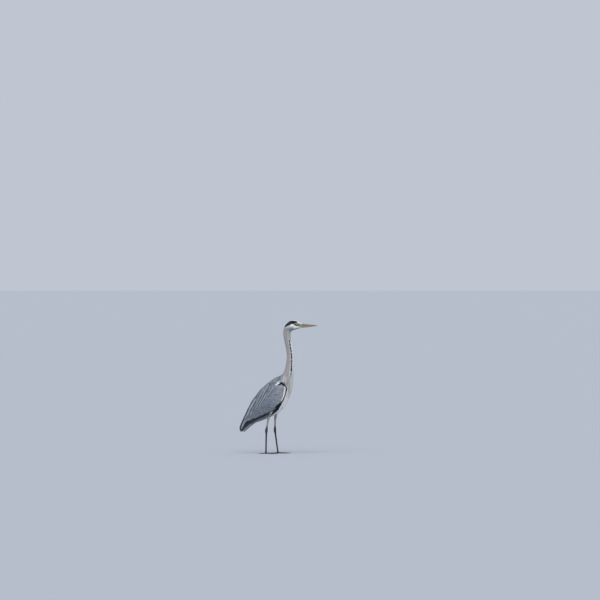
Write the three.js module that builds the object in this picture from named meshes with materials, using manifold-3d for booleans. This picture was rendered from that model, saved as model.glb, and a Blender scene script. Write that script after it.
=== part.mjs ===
// A grey heron (Ardea cinerea), life size, standing still on both feet with its neck up.
// Millimetres, +Z up. The bill points to +X, the bird's right side is towards -Y, and the soles lie at z = 0.
// Head, neck and trunk are lengths of one smooth form, lofted through ribs. The wings, tail, scapular plumes,
// thighs, legs and toes are laid against that form and cut clear of it, so each named part is one closed solid.
// The bird's own frame has x = 0 between the feet; the last lines move the origin to the bottom centre of its box.
import * as THREE from "three";
import { mergeVertices } from "three/addons/utils/BufferGeometryUtils.js";
import Module from "manifold-3d";

const wasm = await Module();
wasm.setup();

// ---------------------------------------------------------------- driving dimensions, mm
const GAP = 0.3; // between neighbouring solids
const MIDLINE_GAP = 0.2; // each side of the plane of symmetry, where left and right parts meet
const RIGHT = -1; // the side a part lies on: the sign of its y
const LEFT = 1;

const EYE = { x: 133, y: 12.6, z: 930, radius: 6.2 };
const BILL = { base: 164.5, tip: 278, baseTop: 936, baseGape: 917.5, baseBottom: 906.5, tipZ: 922, halfWidth: 10.5 };
const HOCK_HEIGHT = 167;
const STANCE = 41; // each foot's distance from the plane of symmetry
const FOOT_X = { [RIGHT]: -93, [LEFT]: -6 }; // the left leg is a short step ahead
const HOCK_X = { [RIGHT]: -89.5, [LEFT]: -28.5 };
const FOOT_HUB = 7.6; // radius of the pad where the toes meet
const HOCK = { wide: 7.6, deep: 9.8 }; // half its breadth and half its depth, where shank and tarsus meet

// Toes of a foot: bearing from straight ahead, outwards positive, in degrees, then lengths and radius at the root.
const TOES = [
  { name: "inner", bearing: -27, length: 62, claw: 12, radius: 3.7 },
  { name: "middle", bearing: 1, length: 84, claw: 13, radius: 4.0 },
  { name: "outer", bearing: 27, length: 68, claw: 11, radius: 3.7 },
  { name: "hind", bearing: 172, length: 46, claw: 18, radius: 3.6 },
];

// ---------------------------------------------------------------- the body's ribs
// Each rib: back x, back z, front x, front z, half width. They run from the root of the tail,
// up the trunk and the neck and over the head, to the feathers' edge at the bill.
const RIBS = [
  [-208, 262, -174, 225, 17],
  [-199, 318, -127, 240, 33],
  [-180, 371, -72, 261, 47],
  [-151, 424, -23, 283, 57],
  [-111, 474, 23, 317, 62],
  [-66, 514, 57, 366, 62],
  [-24, 541, 77, 428, 55],
  [10, 560, 90, 492, 44],
  [34, 585, 102, 550, 35],
  [47, 622, 107, 604, 28.5],
  [54, 662, 108, 654, 24.5],
  [58, 704, 106.5, 703, 22],
  [53.5, 748, 101, 750, 20.5],
  [43, 796, 92, 800, 19.5],
  [35, 840, 84, 842, 19],
  [32, 876, 84, 866, 19],
  [39, 906, 90, 881, 19.5],
  [55, 934, 102, 888, 20.5],
  [80, 956, 116, 892.5, 21],
  [106, 962, 130, 896.5, 20],
  [132, 954.5, 143, 900.5, 16.6],
  [152, 944, 154, 904.5, 13],
  [164, 937, 161.5, 906.5, 10.8],
];

// The lengths that the body is parted into: first and last rib, steps between rings, and sides to a ring.
const LENGTHS = {
  trunk: { from: 0, to: 8, rings: 13, sides: 24 },
  neck_lower: { from: 8, to: 10.6, rings: 4, sides: 24 },
  neck_middle: { from: 10.6, to: 13.4, rings: 5, sides: 20 },
  neck_upper: { from: 13.4, to: 15.6, rings: 4, sides: 20 },
  head: { from: 15.6, to: RIBS.length - 1, rings: 14, sides: 22 },
};

// A folded wing: upper edge x, y, z, lower edge x, y, z, outward bulge and inward bulge, from the bend of
// the wing at the breast to the tips of the primaries. y is the distance from the plane of symmetry.
const WING_RIBS = [
  [46, 52, 482, 49, 51, 458, 3, 10],
  [32, 49, 502, 47, 55, 432, 10, 26],
  [2, 47, 508, 33, 60, 391, 15, 34],
  [-36, 44, 496, 5, 63, 351, 17, 36],
  [-80, 39, 468, -30, 62, 318, 17, 34],
  [-124, 31, 433, -70, 57, 290, 16, 30],
  [-166, 21, 394, -111, 50, 266, 14, 24],
  [-202, 12, 350, -150, 42, 247, 11, 18],
  [-229, 7, 304, -186, 34, 229, 8.5, 12],
  [-250, 5, 260, -216, 27, 208, 6.5, 8],
  [-268, 4, 220, -242, 20, 184, 4.5, 5],
  [-280, 3.5, 186, -262, 13, 165, 3, 3],
  [-279, 3.5, 160, -273, 7, 156, 1.2, 1.2],
];
// The black flight feathers show below this line, as x, z: under the coverts, then under the longest tertial.
const PRIMARY_LINE = [
  [40, 354],
  [-84, 296],
  [-222, 232],
  [-268, 155],
];

// The long scapular plumes, over the shoulder and the top of the wing: laid out as the wing's rows are.
const SCAPULAR_RIBS = [
  [31, 12, 565, 30, 20, 553, 1.2, 6],
  [16, 9, 562, 18, 41, 529, 5, 12],
  [-10, 8, 553, -6, 51, 512, 7, 16],
  [-46, 7, 533, -46, 54, 482, 8, 18],
  [-90, 7, 500, -92, 52, 444, 8, 18],
  [-132, 6, 461, -134, 48, 405, 7, 16],
  [-166, 5, 421, -166, 43, 366, 6, 14],
  [-195, 4.5, 379, -190, 35, 336, 5, 12],
  [-216, 4.5, 341, -208, 26, 312, 3.5, 10],
  [-227, 5, 317, -223, 12, 306, 1.2, 5],
];

// The tail: centre x, z, half width, half thickness, from its root between the wings to its square end.
const TAIL_RIBS = [
  [-150, 252, 24, 13],
  [-182, 230, 27, 11],
  [-212, 205, 30, 7.5],
  [-236, 183, 30, 4.2],
  [-250, 170, 24, 2.2],
  [-256, 165, 15, 1.1],
];
const TAIL_ARCH = 9; // how far the tail's edges droop below its middle

// The plumes that hang from the foot of the neck over the breast: front x, z, half width and half thickness.
const BREAST_PLUME_ROWS = [
  [108, 566, 9, 3.5],
  [104, 527, 17, 7],
  [98, 488, 21, 9],
  [91, 450, 20, 9],
  [79, 418, 15, 8],
  [66, 386, 7, 4],
  [59, 369, 2, 1.5],
];

// A thigh's feathers, from inside the trunk to the bare shank: offset from the shank's top, then radius.
const THIGH_ROWS = [
  [23, -7, 101, 12],
  [20, -6, 90, 26],
  [9, -3, 58, 20],
  [3, -1, 28, 9.6],
  [0, 0, 0, 6.8],
];
const SHANK_TOP = { [RIGHT]: [-78.5, 240], [LEFT]: [-26.5, 249] };

// ---------------------------------------------------------------- materials
const paint = (name, colour, roughness = 0.85) =>
  new THREE.MeshStandardMaterial({ name, color: colour, roughness, metalness: 0 });
const PAINT = {
  crown: paint("white and black head feathers", 0xd9dbd8),
  neck: paint("pale grey neck feathers", 0xa9a7ab),
  back: paint("slate grey feathers", 0x7d828c),
  plume: paint("silvery plumes", 0x9aa0aa),
  white: paint("white breast plumes", 0xd6d8d2),
  black: paint("black feathers", 0x23242b),
  primary: paint("blackish flight feathers", 0x2b2e36, 0.7),
  bill: paint("yellow-brown bill horn", 0xb59a63, 0.4),
  eye: paint("yellow iris", 0xd9b93c, 0.1),
  leg: paint("brown-grey leg scales", 0x6f6a5c, 0.6),
  claw: paint("dark horn", 0x2c2823, 0.45),
};

// ---------------------------------------------------------------- small tools
// Values of the rows at t, a count of rows from the first, by a Catmull-Rom spline through them.
function rowAt(rows, t) {
  const i = Math.min(Math.max(Math.floor(t), 0), rows.length - 2);
  const u = t - i;
  const [p1, p2] = [rows[i], rows[i + 1]];
  const p0 = rows[i - 1] ?? p1.map((v, k) => 2 * v - p2[k]);
  const p3 = rows[i + 2] ?? p2.map((v, k) => 2 * v - p1[k]);
  return p1.map((v, k) => {
    const slopeIn = (p2[k] - p0[k]) / 2;
    const slopeOut = (p3[k] - v) / 2;
    return (
      v + u * slopeIn + u * u * (3 * (p2[k] - v) - 2 * slopeIn - slopeOut) +
      u * u * u * (2 * (v - p2[k]) + slopeIn + slopeOut)
    );
  });
}

// n + 1 even steps from a to b.
const steps = (a, b, n) => Array.from({ length: n + 1 }, (_, i) => a + ((b - a) * i) / n);

// A closed solid through rings of points, each end closed by a fan to the ring's middle.
function ringed(rings) {
  const sides = rings[0].length;
  const position = rings.flat().flatMap((p) => [p.x, p.y, p.z]);
  const index = [];
  for (let r = 0; r < rings.length - 1; r++) {
    for (let k = 0; k < sides; k++) {
      const [a, b] = [r * sides + k, r * sides + ((k + 1) % sides)];
      index.push(a, b, b + sides, a, b + sides, a + sides);
    }
  }
  for (const [r, turn] of [[0, 1], [rings.length - 1, 0]]) {
    const middle = rings[r].reduce((sum, p) => sum.add(p), new THREE.Vector3()).divideScalar(sides);
    const centre = position.length / 3;
    position.push(middle.x, middle.y, middle.z);
    for (let k = 0; k < sides; k++) {
      const [a, b] = [r * sides + k, r * sides + ((k + 1) % sides)];
      index.push(...(turn ? [b, a, centre] : [a, b, centre]));
    }
  }
  return facingOut(position, index);
}

// A solid of these points and triangles, turned so that its faces point out.
function facingOut(position, index) {
  const make = (triangles) =>
    new wasm.Manifold(
      new wasm.Mesh({
        numProp: 3,
        vertProperties: new Float32Array(position),
        triVerts: new Uint32Array(triangles),
      }),
    );
  const made = make(index);
  if (made.volume() > 0) return made;
  const turned = index.slice();
  for (let i = 0; i < turned.length; i += 3) [turned[i + 1], turned[i + 2]] = [turned[i + 2], turned[i + 1]];
  return make(turned);
}

// A three.js geometry as a solid.
function solidOf(geometry) {
  const bare = geometry.clone().deleteAttribute("normal").deleteAttribute("uv");
  const merged = mergeVertices(bare, 1e-3);
  return facingOut(Array.from(merged.attributes.position.array), Array.from(merged.index.array));
}

// The largest single body of a solid, so that a cut leaves no crumbs.
function largest(solid) {
  return solid.decompose().reduce((best, s) => (s.volume() > best.volume() ? s : best));
}

// A solid back as a named three.js mesh, with a material of its own.
function mesh(name, solid, material) {
  const { vertProperties, triVerts, numProp, numVert } = largest(solid).getMesh();
  const position = new Float32Array(numVert * 3);
  for (let i = 0; i < numVert; i++) position.set(vertProperties.subarray(i * numProp, i * numProp + 3), i * 3);
  const geometry = new THREE.BufferGeometry();
  geometry.setAttribute("position", new THREE.BufferAttribute(position, 3));
  geometry.setIndex(new THREE.BufferAttribute(new Uint32Array(triVerts), 1));
  geometry.computeVertexNormals();
  const made = new THREE.Mesh(geometry, material.clone());
  made.name = name;
  return made;
}

const sideName = (side) => (side === LEFT ? "left" : "right");

// Half of space, kept clear of the plane of symmetry.
const ownHalf = (solid, side) => solid.trimByPlane([0, side, 0], MIDLINE_GAP);

// ---------------------------------------------------------------- head, neck and trunk
// A ring of the body at rib t, grown outwards by grow. It lies in the rib's own plane.
function bodyRing(t, sides, grow = 0) {
  const [bx, bz, fx, fz, half] = rowAt(RIBS, t);
  const back = new THREE.Vector3(bx, 0, bz);
  const front = new THREE.Vector3(fx, 0, fz);
  const middle = back.clone().add(front).divideScalar(2);
  const reach = back.clone().sub(middle);
  const depth = reach.length();
  reach.divideScalar(depth);
  return steps(0, 2 * Math.PI, sides).slice(0, sides).map((a) =>
    middle.clone()
      .addScaledVector(reach, (depth + grow) * Math.cos(a))
      .add(new THREE.Vector3(0, (half + grow) * Math.sin(a), 0)),
  );
}

// How much of a rib step is half a GAP at rib t, where the rings lie closest.
function halfGapAt(t) {
  const [bx, bz, fx, fz] = rowAt(RIBS, t);
  const [bx2, bz2, fx2, fz2] = rowAt(RIBS, t + 0.01);
  const nearest = Math.min(Math.hypot(bx2 - bx, bz2 - bz), Math.hypot(fx2 - fx, fz2 - fz)) * 100;
  return (GAP / 2 / nearest) * 1.2;
}

// One of LENGTHS as a solid, shortened by half a GAP where it meets its neighbours.
function bodyLength(name) {
  const { from, to, rings, sides } = LENGTHS[name];
  const ts = steps(from, to, rings);
  if (name !== "trunk") ts[0] += halfGapAt(from);
  if (name !== "head") ts[rings] -= halfGapAt(to);
  return ringed(ts.map((t) => bodyRing(t, sides)));
}

// The trunk and the foot of the neck grown by a GAP, to keep other solids clear of them.
function grownTrunk() {
  const { trunk, neck_lower: neck } = LENGTHS;
  const ts = [-0.03, ...steps(trunk.from, trunk.to, trunk.rings), ...steps(neck.from, neck.to, neck.rings).slice(1)];
  return ringed(ts.map((t) => bodyRing(t, trunk.sides, GAP)));
}
const GROWN_TRUNK = grownTrunk();

function eyeball(side, grow = 0) {
  const ball = new THREE.SphereGeometry(EYE.radius + grow, 12, 8);
  return solidOf(ball.translate(EYE.x, side * EYE.y, EYE.z));
}

function bodyParts() {
  let head = bodyLength("head");
  for (const side of [RIGHT, LEFT]) head = head.subtract(eyeball(side, GAP));
  return [
    mesh("trunk", bodyLength("trunk"), PAINT.back),
    mesh("neck_lower", bodyLength("neck_lower"), PAINT.neck),
    mesh("neck_middle", bodyLength("neck_middle"), PAINT.neck),
    mesh("neck_upper", bodyLength("neck_upper"), PAINT.neck),
    mesh("head", head, PAINT.crown),
  ];
}

// ---------------------------------------------------------------- bill
// A mandible: rings across x, each an arch over a flat biting edge. up is 1 for the upper and -1 for the lower.
function mandible(up) {
  const length = BILL.tip - BILL.base;
  const edgeAt = (u) => BILL.baseGape + (BILL.tipZ - BILL.baseGape) * u;
  const outerAt = (u) =>
    up > 0
      ? BILL.baseTop + (BILL.tipZ + 1.2 - BILL.baseTop) * (u * 0.9 + 0.1 * u * u)
      : BILL.baseBottom + (BILL.tipZ - 1.2 - BILL.baseBottom) * (0.55 * u + 0.45 * u * u);
  const reach = up > 0 ? 1 : 0.985;
  return ringed(
    steps(0, 1, 9).map((u) => {
      const half = BILL.halfWidth * (1 - 0.9 * u ** 0.85) * (up > 0 ? 1 : 0.92);
      const edge = edgeAt(u) + (up * GAP) / 2;
      const tall = outerAt(u) - edge;
      const arch = steps(0, Math.PI, 9).map(
        (a) => new THREE.Vector3(
          BILL.base + GAP + length * reach * u,
          -half * Math.cos(a),
          edge + tall * Math.sin(a) ** 0.85,
        ),
      );
      return arch;
    }),
  );
}

function headParts() {
  const parts = [
    mesh("bill_upper", mandible(1), PAINT.bill),
    mesh("bill_lower", mandible(-1), PAINT.bill),
  ];
  for (const side of [RIGHT, LEFT]) {
    parts.push(mesh(`eye_${sideName(side)}`, eyeball(side), PAINT.eye));
  }
  return parts;
}

// ---------------------------------------------------------------- limbs and plumes
// A tube through rows of x, y, z, width radius and depth radius. ahead is the way its depth lies.
function limb(rows, rings, sides, ahead) {
  return ringed(
    steps(0, rows.length - 1, rings).map((t) => {
      const [x, y, z, wide, deep] = rowAt(rows, t);
      const [x0, y0, z0] = rowAt(rows, Math.max(t - 0.05, 0));
      const [x1, y1, z1] = rowAt(rows, Math.min(t + 0.05, rows.length - 1));
      const along = new THREE.Vector3(x1 - x0, y1 - y0, z1 - z0).normalize();
      const across = along.clone().cross(ahead).normalize();
      const depth = across.clone().cross(along).normalize();
      return steps(0, 2 * Math.PI, sides).slice(0, sides).map((a) =>
        new THREE.Vector3(x, y, z)
          .addScaledVector(across, wide * Math.sin(a))
          .addScaledVector(depth, deep * Math.cos(a)),
      );
    }),
  );
}

const FORWARD = new THREE.Vector3(1, 0, 0);
const UPWARD = new THREE.Vector3(0, 0, 1);

function breastPlumes() {
  const rows = BREAST_PLUME_ROWS.map(([x, z, wide, deep]) => [x - deep, 0, z, wide, deep]);
  return limb(rows, 8, 12, FORWARD).subtract(GROWN_TRUNK);
}

// ---------------------------------------------------------------- wings, scapulars and tail
// A lens-shaped blade between an upper and a lower edge, bulging outwards, and inwards to be cut by the trunk.
function blade(ribs, side, rings, arcSteps) {
  return ringed(
    steps(0, ribs.length - 1, rings).map((t) => {
      const [ux, uy, uz, lx, ly, lz, out, into] = rowAt(ribs, t);
      const upper = new THREE.Vector3(ux, side * uy, uz);
      const lower = new THREE.Vector3(lx, side * ly, lz);
      const chord = lower.clone().sub(upper);
      const away = new THREE.Vector3(0, side, 0);
      const unit = chord.clone().normalize();
      away.addScaledVector(unit, -away.dot(unit)).normalize();
      const arc = (bulge) => (a) =>
        upper.clone()
          .addScaledVector(chord, (1 - Math.cos(a)) / 2)
          .addScaledVector(away, bulge * Math.sin(a) ** 0.9);
      const outer = steps(0, Math.PI, arcSteps).map(arc(out));
      const inner = steps(Math.PI, 0, arcSteps).slice(1, arcSteps).map(arc(-into));
      return [...outer, ...inner];
    }),
  );
}

// A slab through the whole bird that holds what lies below PRIMARY_LINE, with that line raised by raise.
function belowPrimaryLine(raise) {
  const line = PRIMARY_LINE.map(([x, z]) => new THREE.Vector2(x - 0.7 * raise, z + 0.78 * raise));
  const [first, last] = [line[0], line[line.length - 1]];
  const outline = [...line, new THREE.Vector2(last.x - 40, 60), new THREE.Vector2(first.x, 60)];
  const slab = new THREE.ExtrudeGeometry(new THREE.Shape(outline), { depth: 400, bevelEnabled: false });
  return solidOf(slab.rotateX(Math.PI / 2).translate(0, 200, 0));
}

function wingParts(side) {
  const name = sideName(side);
  const scapularBlade = (grow) => ownHalf(blade(grownRibs(SCAPULAR_RIBS, grow), side, 12, 4), side);
  const whole = ownHalf(blade(WING_RIBS, side, 16, 6), side)
    .subtract(GROWN_TRUNK)
    .subtract(tail(GAP))
    .subtract(thigh(side, GAP))
    .subtract(scapularBlade(GAP));
  return [
    mesh(`wing_${name}`, whole.subtract(belowPrimaryLine(GAP / 2)), PAINT.back),
    mesh(`primaries_${name}`, whole.intersect(belowPrimaryLine(-GAP / 2)), PAINT.primary),
    mesh(`scapulars_${name}`, scapularBlade(0).subtract(GROWN_TRUNK), PAINT.plume),
  ];
}

// The rows of a blade, grown by a margin on every side.
function grownRibs(ribs, margin) {
  return ribs.map(([ux, uy, uz, lx, ly, lz, out, into]) => {
    const length = Math.hypot(lx - ux, ly - uy, lz - uz);
    const [dx, dy, dz] = [lx - ux, ly - uy, lz - uz].map((v) => (v / length) * margin);
    return [ux - dx, uy - dy, uz - dz, lx + dx, ly + dy, lz + dz, out + margin, into + margin];
  });
}

function tail(grow = 0) {
  return ringed(
    steps(0, TAIL_RIBS.length - 1, 8).map((t) => {
      const [x, z, half, thick] = rowAt(TAIL_RIBS, t);
      return steps(0, 2 * Math.PI, 14).slice(0, 14).map((a) => {
        const across = Math.cos(a);
        const droop = TAIL_ARCH * across * across;
        return new THREE.Vector3(
          x - (thick + grow) * Math.sin(a) * 0.6,
          (half + grow) * across,
          z + (thick + grow) * Math.sin(a) * 0.8 - droop,
        );
      });
    }),
  );
}

// ---------------------------------------------------------------- legs and feet
function thigh(side, grow = 0) {
  const [x, z] = SHANK_TOP[side];
  const lean = (x - HOCK_X[side]) / (z - HOCK_HEIGHT);
  const rows = THIGH_ROWS.map(([dx, dy, dz, radius]) => [
    x + dx + lean * dz, side * (STANCE + dy), z + dz, radius * 0.8 + grow, radius + grow,
  ]);
  return limb(rows, 6, 12, FORWARD);
}

function shank(side) {
  const [x, z] = SHANK_TOP[side];
  const y = side * STANCE;
  const hock = HOCK_X[side];
  const mix = (u) => x + (hock - x) * u;
  return limb(
    [
      [mix(-0.1), y, z + (z - HOCK_HEIGHT) * 0.1, 5.4, 6.2],
      [mix(0.35), y, z - (z - HOCK_HEIGHT) * 0.35, 5.0, 6.0],
      [mix(0.7), y, z - (z - HOCK_HEIGHT) * 0.7, 5.5, 7.0],
      [mix(0.9), y, z - (z - HOCK_HEIGHT) * 0.9, 6.9, 9.0],
      [hock, y, HOCK_HEIGHT - 3, HOCK.wide, HOCK.deep],
    ],
    6, 10, FORWARD,
  ).trimByPlane([0, 0, 1], HOCK_HEIGHT + GAP / 2);
}

function tarsus(side, grow = 0) {
  const y = side * STANCE;
  const [top, foot] = [HOCK_X[side], FOOT_X[side]];
  const at = (z) => foot + ((top - foot) * z) / HOCK_HEIGHT;
  const rows = [
    [top, y, HOCK_HEIGHT + 3, HOCK.wide, HOCK.deep],
    [at(156) + 0.5, y, 156, 6.8, 8.4],
    [at(142), y, 142, 5.0, 6.3],
    [at(90), y, 90, 4.3, 5.6],
    [at(34), y, 34, 4.4, 5.5],
    [at(15), y, 15, 5.7, 6.2],
    [at(6), y, 6, FOOT_HUB - 0.4, FOOT_HUB - 0.4],
    [foot, y, -3, FOOT_HUB - 1.6, FOOT_HUB - 1.6],
  ].map(([x, , z, wide, deep]) => [x, y, z, wide + grow, deep + grow]);
  return limb(rows, 12, 10, FORWARD)
    .trimByPlane([0, 0, -1], -(HOCK_HEIGHT - GAP / 2))
    .trimByPlane([0, 0, 1], 0);
}

// The way a toe points, seen from above.
function toeHeading(side, toe) {
  const bearing = (toe.bearing * Math.PI) / 180;
  return new THREE.Vector2(Math.cos(bearing), side * Math.sin(bearing));
}

// A toe from the foot's middle outwards: joints swell a little, and the sole is pressed flat at z = 0.
function toeSolid(side, toe, grow = 0) {
  const heading = toeHeading(side, toe);
  const joints = toe.length > 80 ? 4 : 3;
  const count = joints * 2;
  const sides = 8;
  const rings = steps(0, 1, count).map((u) => {
    const swell = 1 + 0.13 * Math.cos(2 * Math.PI * joints * u);
    const radius = toe.radius * (1 - 0.32 * u) * swell + grow;
    const reach = FOOT_HUB * 0.4 + (toe.length - FOOT_HUB * 0.4) * u;
    const height = toe.radius * (0.86 - 0.3 * u) * swell + (1 - u) ** 3 * 3;
    return steps(0, 2 * Math.PI, sides).slice(0, sides).map((a) => {
      const out = radius * Math.sin(a);
      return new THREE.Vector3(
        FOOT_X[side] + heading.x * reach - heading.y * out,
        side * STANCE + heading.y * reach + heading.x * out,
        Math.max(height + radius * Math.cos(a), 0),
      );
    });
  });
  return ringed(rings);
}

// A claw, curved down to its point, from the end of its toe.
function claw(side, toe) {
  const heading = toeHeading(side, toe);
  const rows = steps(0, 1, 3).map((u) => {
    const reach = toe.length - 2 + (toe.claw + 2) * u;
    return [
      FOOT_X[side] + heading.x * reach,
      side * STANCE + heading.y * reach,
      2.6 + 1.3 * Math.sin(Math.PI * 0.75 * u) - 1.6 * u * u,
      1.7 * (1 - 0.8 * u),
      2.0 * (1 - 0.8 * u),
    ];
  });
  const root = FOOT_X[side] * heading.x + side * STANCE * heading.y + toe.length + GAP;
  return limb(rows, 4, 6, UPWARD).trimByPlane([heading.x, heading.y, 0], root);
}

function legParts(side) {
  const name = sideName(side);
  const pad = tarsus(side, GAP);
  const middle = toeSolid(side, TOES[1], GAP);
  const parts = [
    mesh(`thigh_${name}`, thigh(side).subtract(GROWN_TRUNK), PAINT.white),
    mesh(`shank_${name}`, shank(side).subtract(thigh(side, GAP)), PAINT.leg),
    mesh(`tarsus_${name}`, tarsus(side), PAINT.leg),
  ];
  for (const toe of TOES) {
    let solid = toeSolid(side, toe).subtract(pad);
    if (toe.name === "inner" || toe.name === "outer") solid = solid.subtract(middle);
    parts.push(mesh(`toe_${toe.name}_${name}`, solid, PAINT.leg));
    parts.push(mesh(`claw_${toe.name}_${name}`, claw(side, toe), PAINT.claw));
  }
  return parts;
}

// ---------------------------------------------------------------- the whole bird
const heron = new THREE.Group();
heron.name = "grey_heron";
heron.add(
  ...bodyParts(),
  ...headParts(),
  mesh("breast_plumes", breastPlumes(), PAINT.white),
  mesh("tail", tail().subtract(GROWN_TRUNK), PAINT.back),
);
for (const side of [RIGHT, LEFT]) heron.add(...wingParts(side), ...legParts(side));

const box = new THREE.Box3().setFromObject(heron);
const centre = box.getCenter(new THREE.Vector3());
heron.position.set(-centre.x, -centre.y, 0);

export default heron;
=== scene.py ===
"""A life-size model of an adult grey heron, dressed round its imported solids.

The bird is one skin with a horn bill, wet eyes and horn claws. Over the skin lie coats of feathers, each a
thin cupped vane, laid tract by tract in the way the live bird's lie. Lengths in the tables are millimetres,
and become metres where a mesh is made.
"""

import logging
import math
from dataclasses import dataclass, field, fields, replace
from enum import Enum
from typing import Callable, Optional, Union

import bpy
import numpy as np
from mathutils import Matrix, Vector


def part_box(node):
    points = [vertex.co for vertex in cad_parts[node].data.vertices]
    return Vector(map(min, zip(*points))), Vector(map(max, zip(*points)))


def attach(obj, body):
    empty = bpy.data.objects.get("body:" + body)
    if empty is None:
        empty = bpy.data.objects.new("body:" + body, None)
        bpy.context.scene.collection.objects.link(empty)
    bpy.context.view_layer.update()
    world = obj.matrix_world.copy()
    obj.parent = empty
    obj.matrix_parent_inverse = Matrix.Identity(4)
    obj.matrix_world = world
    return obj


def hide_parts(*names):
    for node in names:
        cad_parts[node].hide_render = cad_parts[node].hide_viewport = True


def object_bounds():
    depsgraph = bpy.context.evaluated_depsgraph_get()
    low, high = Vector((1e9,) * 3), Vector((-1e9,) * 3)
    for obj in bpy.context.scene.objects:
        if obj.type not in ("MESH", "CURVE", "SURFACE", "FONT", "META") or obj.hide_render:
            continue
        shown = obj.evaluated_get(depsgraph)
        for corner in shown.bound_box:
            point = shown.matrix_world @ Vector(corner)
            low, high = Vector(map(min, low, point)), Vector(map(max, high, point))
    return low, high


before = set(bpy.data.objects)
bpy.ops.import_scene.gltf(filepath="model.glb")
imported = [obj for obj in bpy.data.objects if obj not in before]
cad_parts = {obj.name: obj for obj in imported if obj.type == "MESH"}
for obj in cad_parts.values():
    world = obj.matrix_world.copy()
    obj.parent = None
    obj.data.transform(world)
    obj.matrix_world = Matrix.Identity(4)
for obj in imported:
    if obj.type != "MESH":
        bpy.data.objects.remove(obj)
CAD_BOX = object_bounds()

Array = np.ndarray
Profile = Union[float, tuple]  # one number, or pairs of u and value with straight runs between, u rising
LOG = logging.getLogger("heron")

MM = 0.001  # metres in a millimetre
RIGHT = -1  # the sign of y on the bird's right side
LEFT = 1
BODY = "root"

# The bird's own frame has x = 0 between its feet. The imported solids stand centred, so x moves by this much.
BILL_TIP_X = 278.3
SHIFT = CAD_BOX[1][0] / MM - BILL_TIP_X

# Ribs of the head, neck and trunk: back x, z, front x, z and half width, from the tail's root to the bill.
RIBS = np.array([
    [-208, 262, -174, 225, 17],
    [-199, 318, -127, 240, 33],
    [-180, 371, -72, 261, 47],
    [-151, 424, -23, 283, 57],
    [-111, 474, 23, 317, 62],
    [-66, 514, 57, 366, 62],
    [-24, 541, 77, 428, 55],
    [10, 560, 90, 492, 44],
    [34, 585, 102, 550, 35],
    [47, 622, 107, 604, 28.5],
    [54, 662, 108, 654, 24.5],
    [58, 704, 106.5, 703, 22],
    [53.5, 748, 101, 750, 20.5],
    [43, 796, 92, 800, 19.5],
    [35, 840, 84, 842, 19],
    [32, 876, 84, 866, 19],
    [39, 906, 90, 881, 19.5],
    [55, 934, 102, 888, 20.5],
    [80, 956, 116, 892.5, 21],
    [106, 962, 130, 896.5, 20],
    [132, 954.5, 143, 900.5, 16.6],
    [152, 944, 154, 904.5, 13],
    [164, 937, 161.5, 906.5, 10.8],
])
NECK_BASE, SKULL, BILL_EDGE = 8.0, 15.6, 22.0  # places along the ribs

# A folded wing: upper edge x, y, z, lower edge x, y, z and outward bulge, from its bend to its tip.
WING_ROWS = np.array([
    [46, 52, 482, 49, 51, 458, 3],
    [32, 49, 502, 47, 55, 432, 10],
    [2, 47, 508, 33, 60, 391, 15],
    [-36, 44, 496, 5, 63, 351, 17],
    [-80, 39, 468, -30, 62, 318, 17],
    [-124, 31, 433, -70, 57, 290, 16],
    [-166, 21, 394, -111, 50, 266, 14],
    [-202, 12, 350, -150, 42, 247, 11],
    [-229, 7, 304, -186, 34, 229, 8.5],
    [-250, 5, 260, -216, 27, 208, 6.5],
    [-268, 4, 220, -242, 20, 184, 4.5],
    [-280, 3.5, 186, -262, 13, 165, 3],
    [-279, 3.5, 160, -273, 7, 156, 1.2],
])
# The scapular tract over the shoulder, laid out as the wing's rows are.
SCAPULAR_ROWS = np.array([
    [31, 12, 565, 30, 20, 553, 1.2],
    [16, 9, 562, 18, 41, 529, 5],
    [-10, 8, 553, -6, 51, 512, 7],
    [-46, 7, 533, -46, 54, 482, 8],
    [-90, 7, 500, -92, 52, 444, 8],
    [-132, 6, 461, -134, 48, 405, 7],
    [-166, 5, 421, -166, 43, 366, 6],
    [-195, 4.5, 379, -190, 35, 336, 5],
    [-216, 4.5, 341, -208, 26, 312, 3.5],
    [-227, 5, 317, -223, 12, 306, 1.2],
])
# The tail: centre x, z, half width, half thickness.
TAIL_ROWS = np.array([
    [-150, 252, 24, 13],
    [-182, 230, 27, 11],
    [-212, 205, 30, 7.5],
    [-236, 183, 30, 4.2],
    [-250, 170, 24, 2.2],
    [-256, 165, 15, 1.1],
])
TAIL_ARCH = 9.0
# The thigh: x, y and z off the shank's top, and radius, from its rounded top down.
THIGH_ROWS = np.array([
    [23, -7, 101, 3], [21, -6, 94, 18], [17, -5, 78, 24.5], [9, -3, 58, 20], [3, -1, 28, 9.8], [0, 0, 0, 7.0],
])
SHANK_TOP = {RIGHT: (-78.5, 240.0), LEFT: (-26.5, 249.0)}
HOCK_X = {RIGHT: -89.5, LEFT: -28.5}
FOOT_X = {RIGHT: -93.0, LEFT: -6.0}
HOCK_HEIGHT = 167.0
STANCE = 41.0


# ---------- small tools
def linear(hex_colour: str) -> Array:
    """Turns an sRGB hex colour to linear red, green and blue.

    Args:
        hex_colour: six hex digits after a #.

    Returns:
        Three linear values from 0 to 1.
    """
    srgb = np.array([int(hex_colour[i:i + 2], 16) for i in (1, 3, 5)]) / 255
    return np.where(srgb <= 0.04045, srgb / 12.92, ((srgb + 0.055) / 1.055) ** 2.4)


def unit(vectors: Array) -> Array:
    """Scales vectors in the last axis to length 1."""
    return vectors / np.maximum(np.linalg.norm(vectors, axis=-1, keepdims=True), 1e-12)


def smooth(low: float, high: float, values: Array) -> Array:
    """Rises from 0 at low to 1 at high by the smoothstep 3x^2 - 2x^3, flat beyond them."""
    x = np.clip((values - low) / (high - low), 0, 1)
    return x * x * (3 - 2 * x)


def grid(first: Array, second: Array) -> list[Array]:
    """Every pair of two rows of values, the first down and the second across."""
    return np.meshgrid(first, second, indexing="ij")


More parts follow.
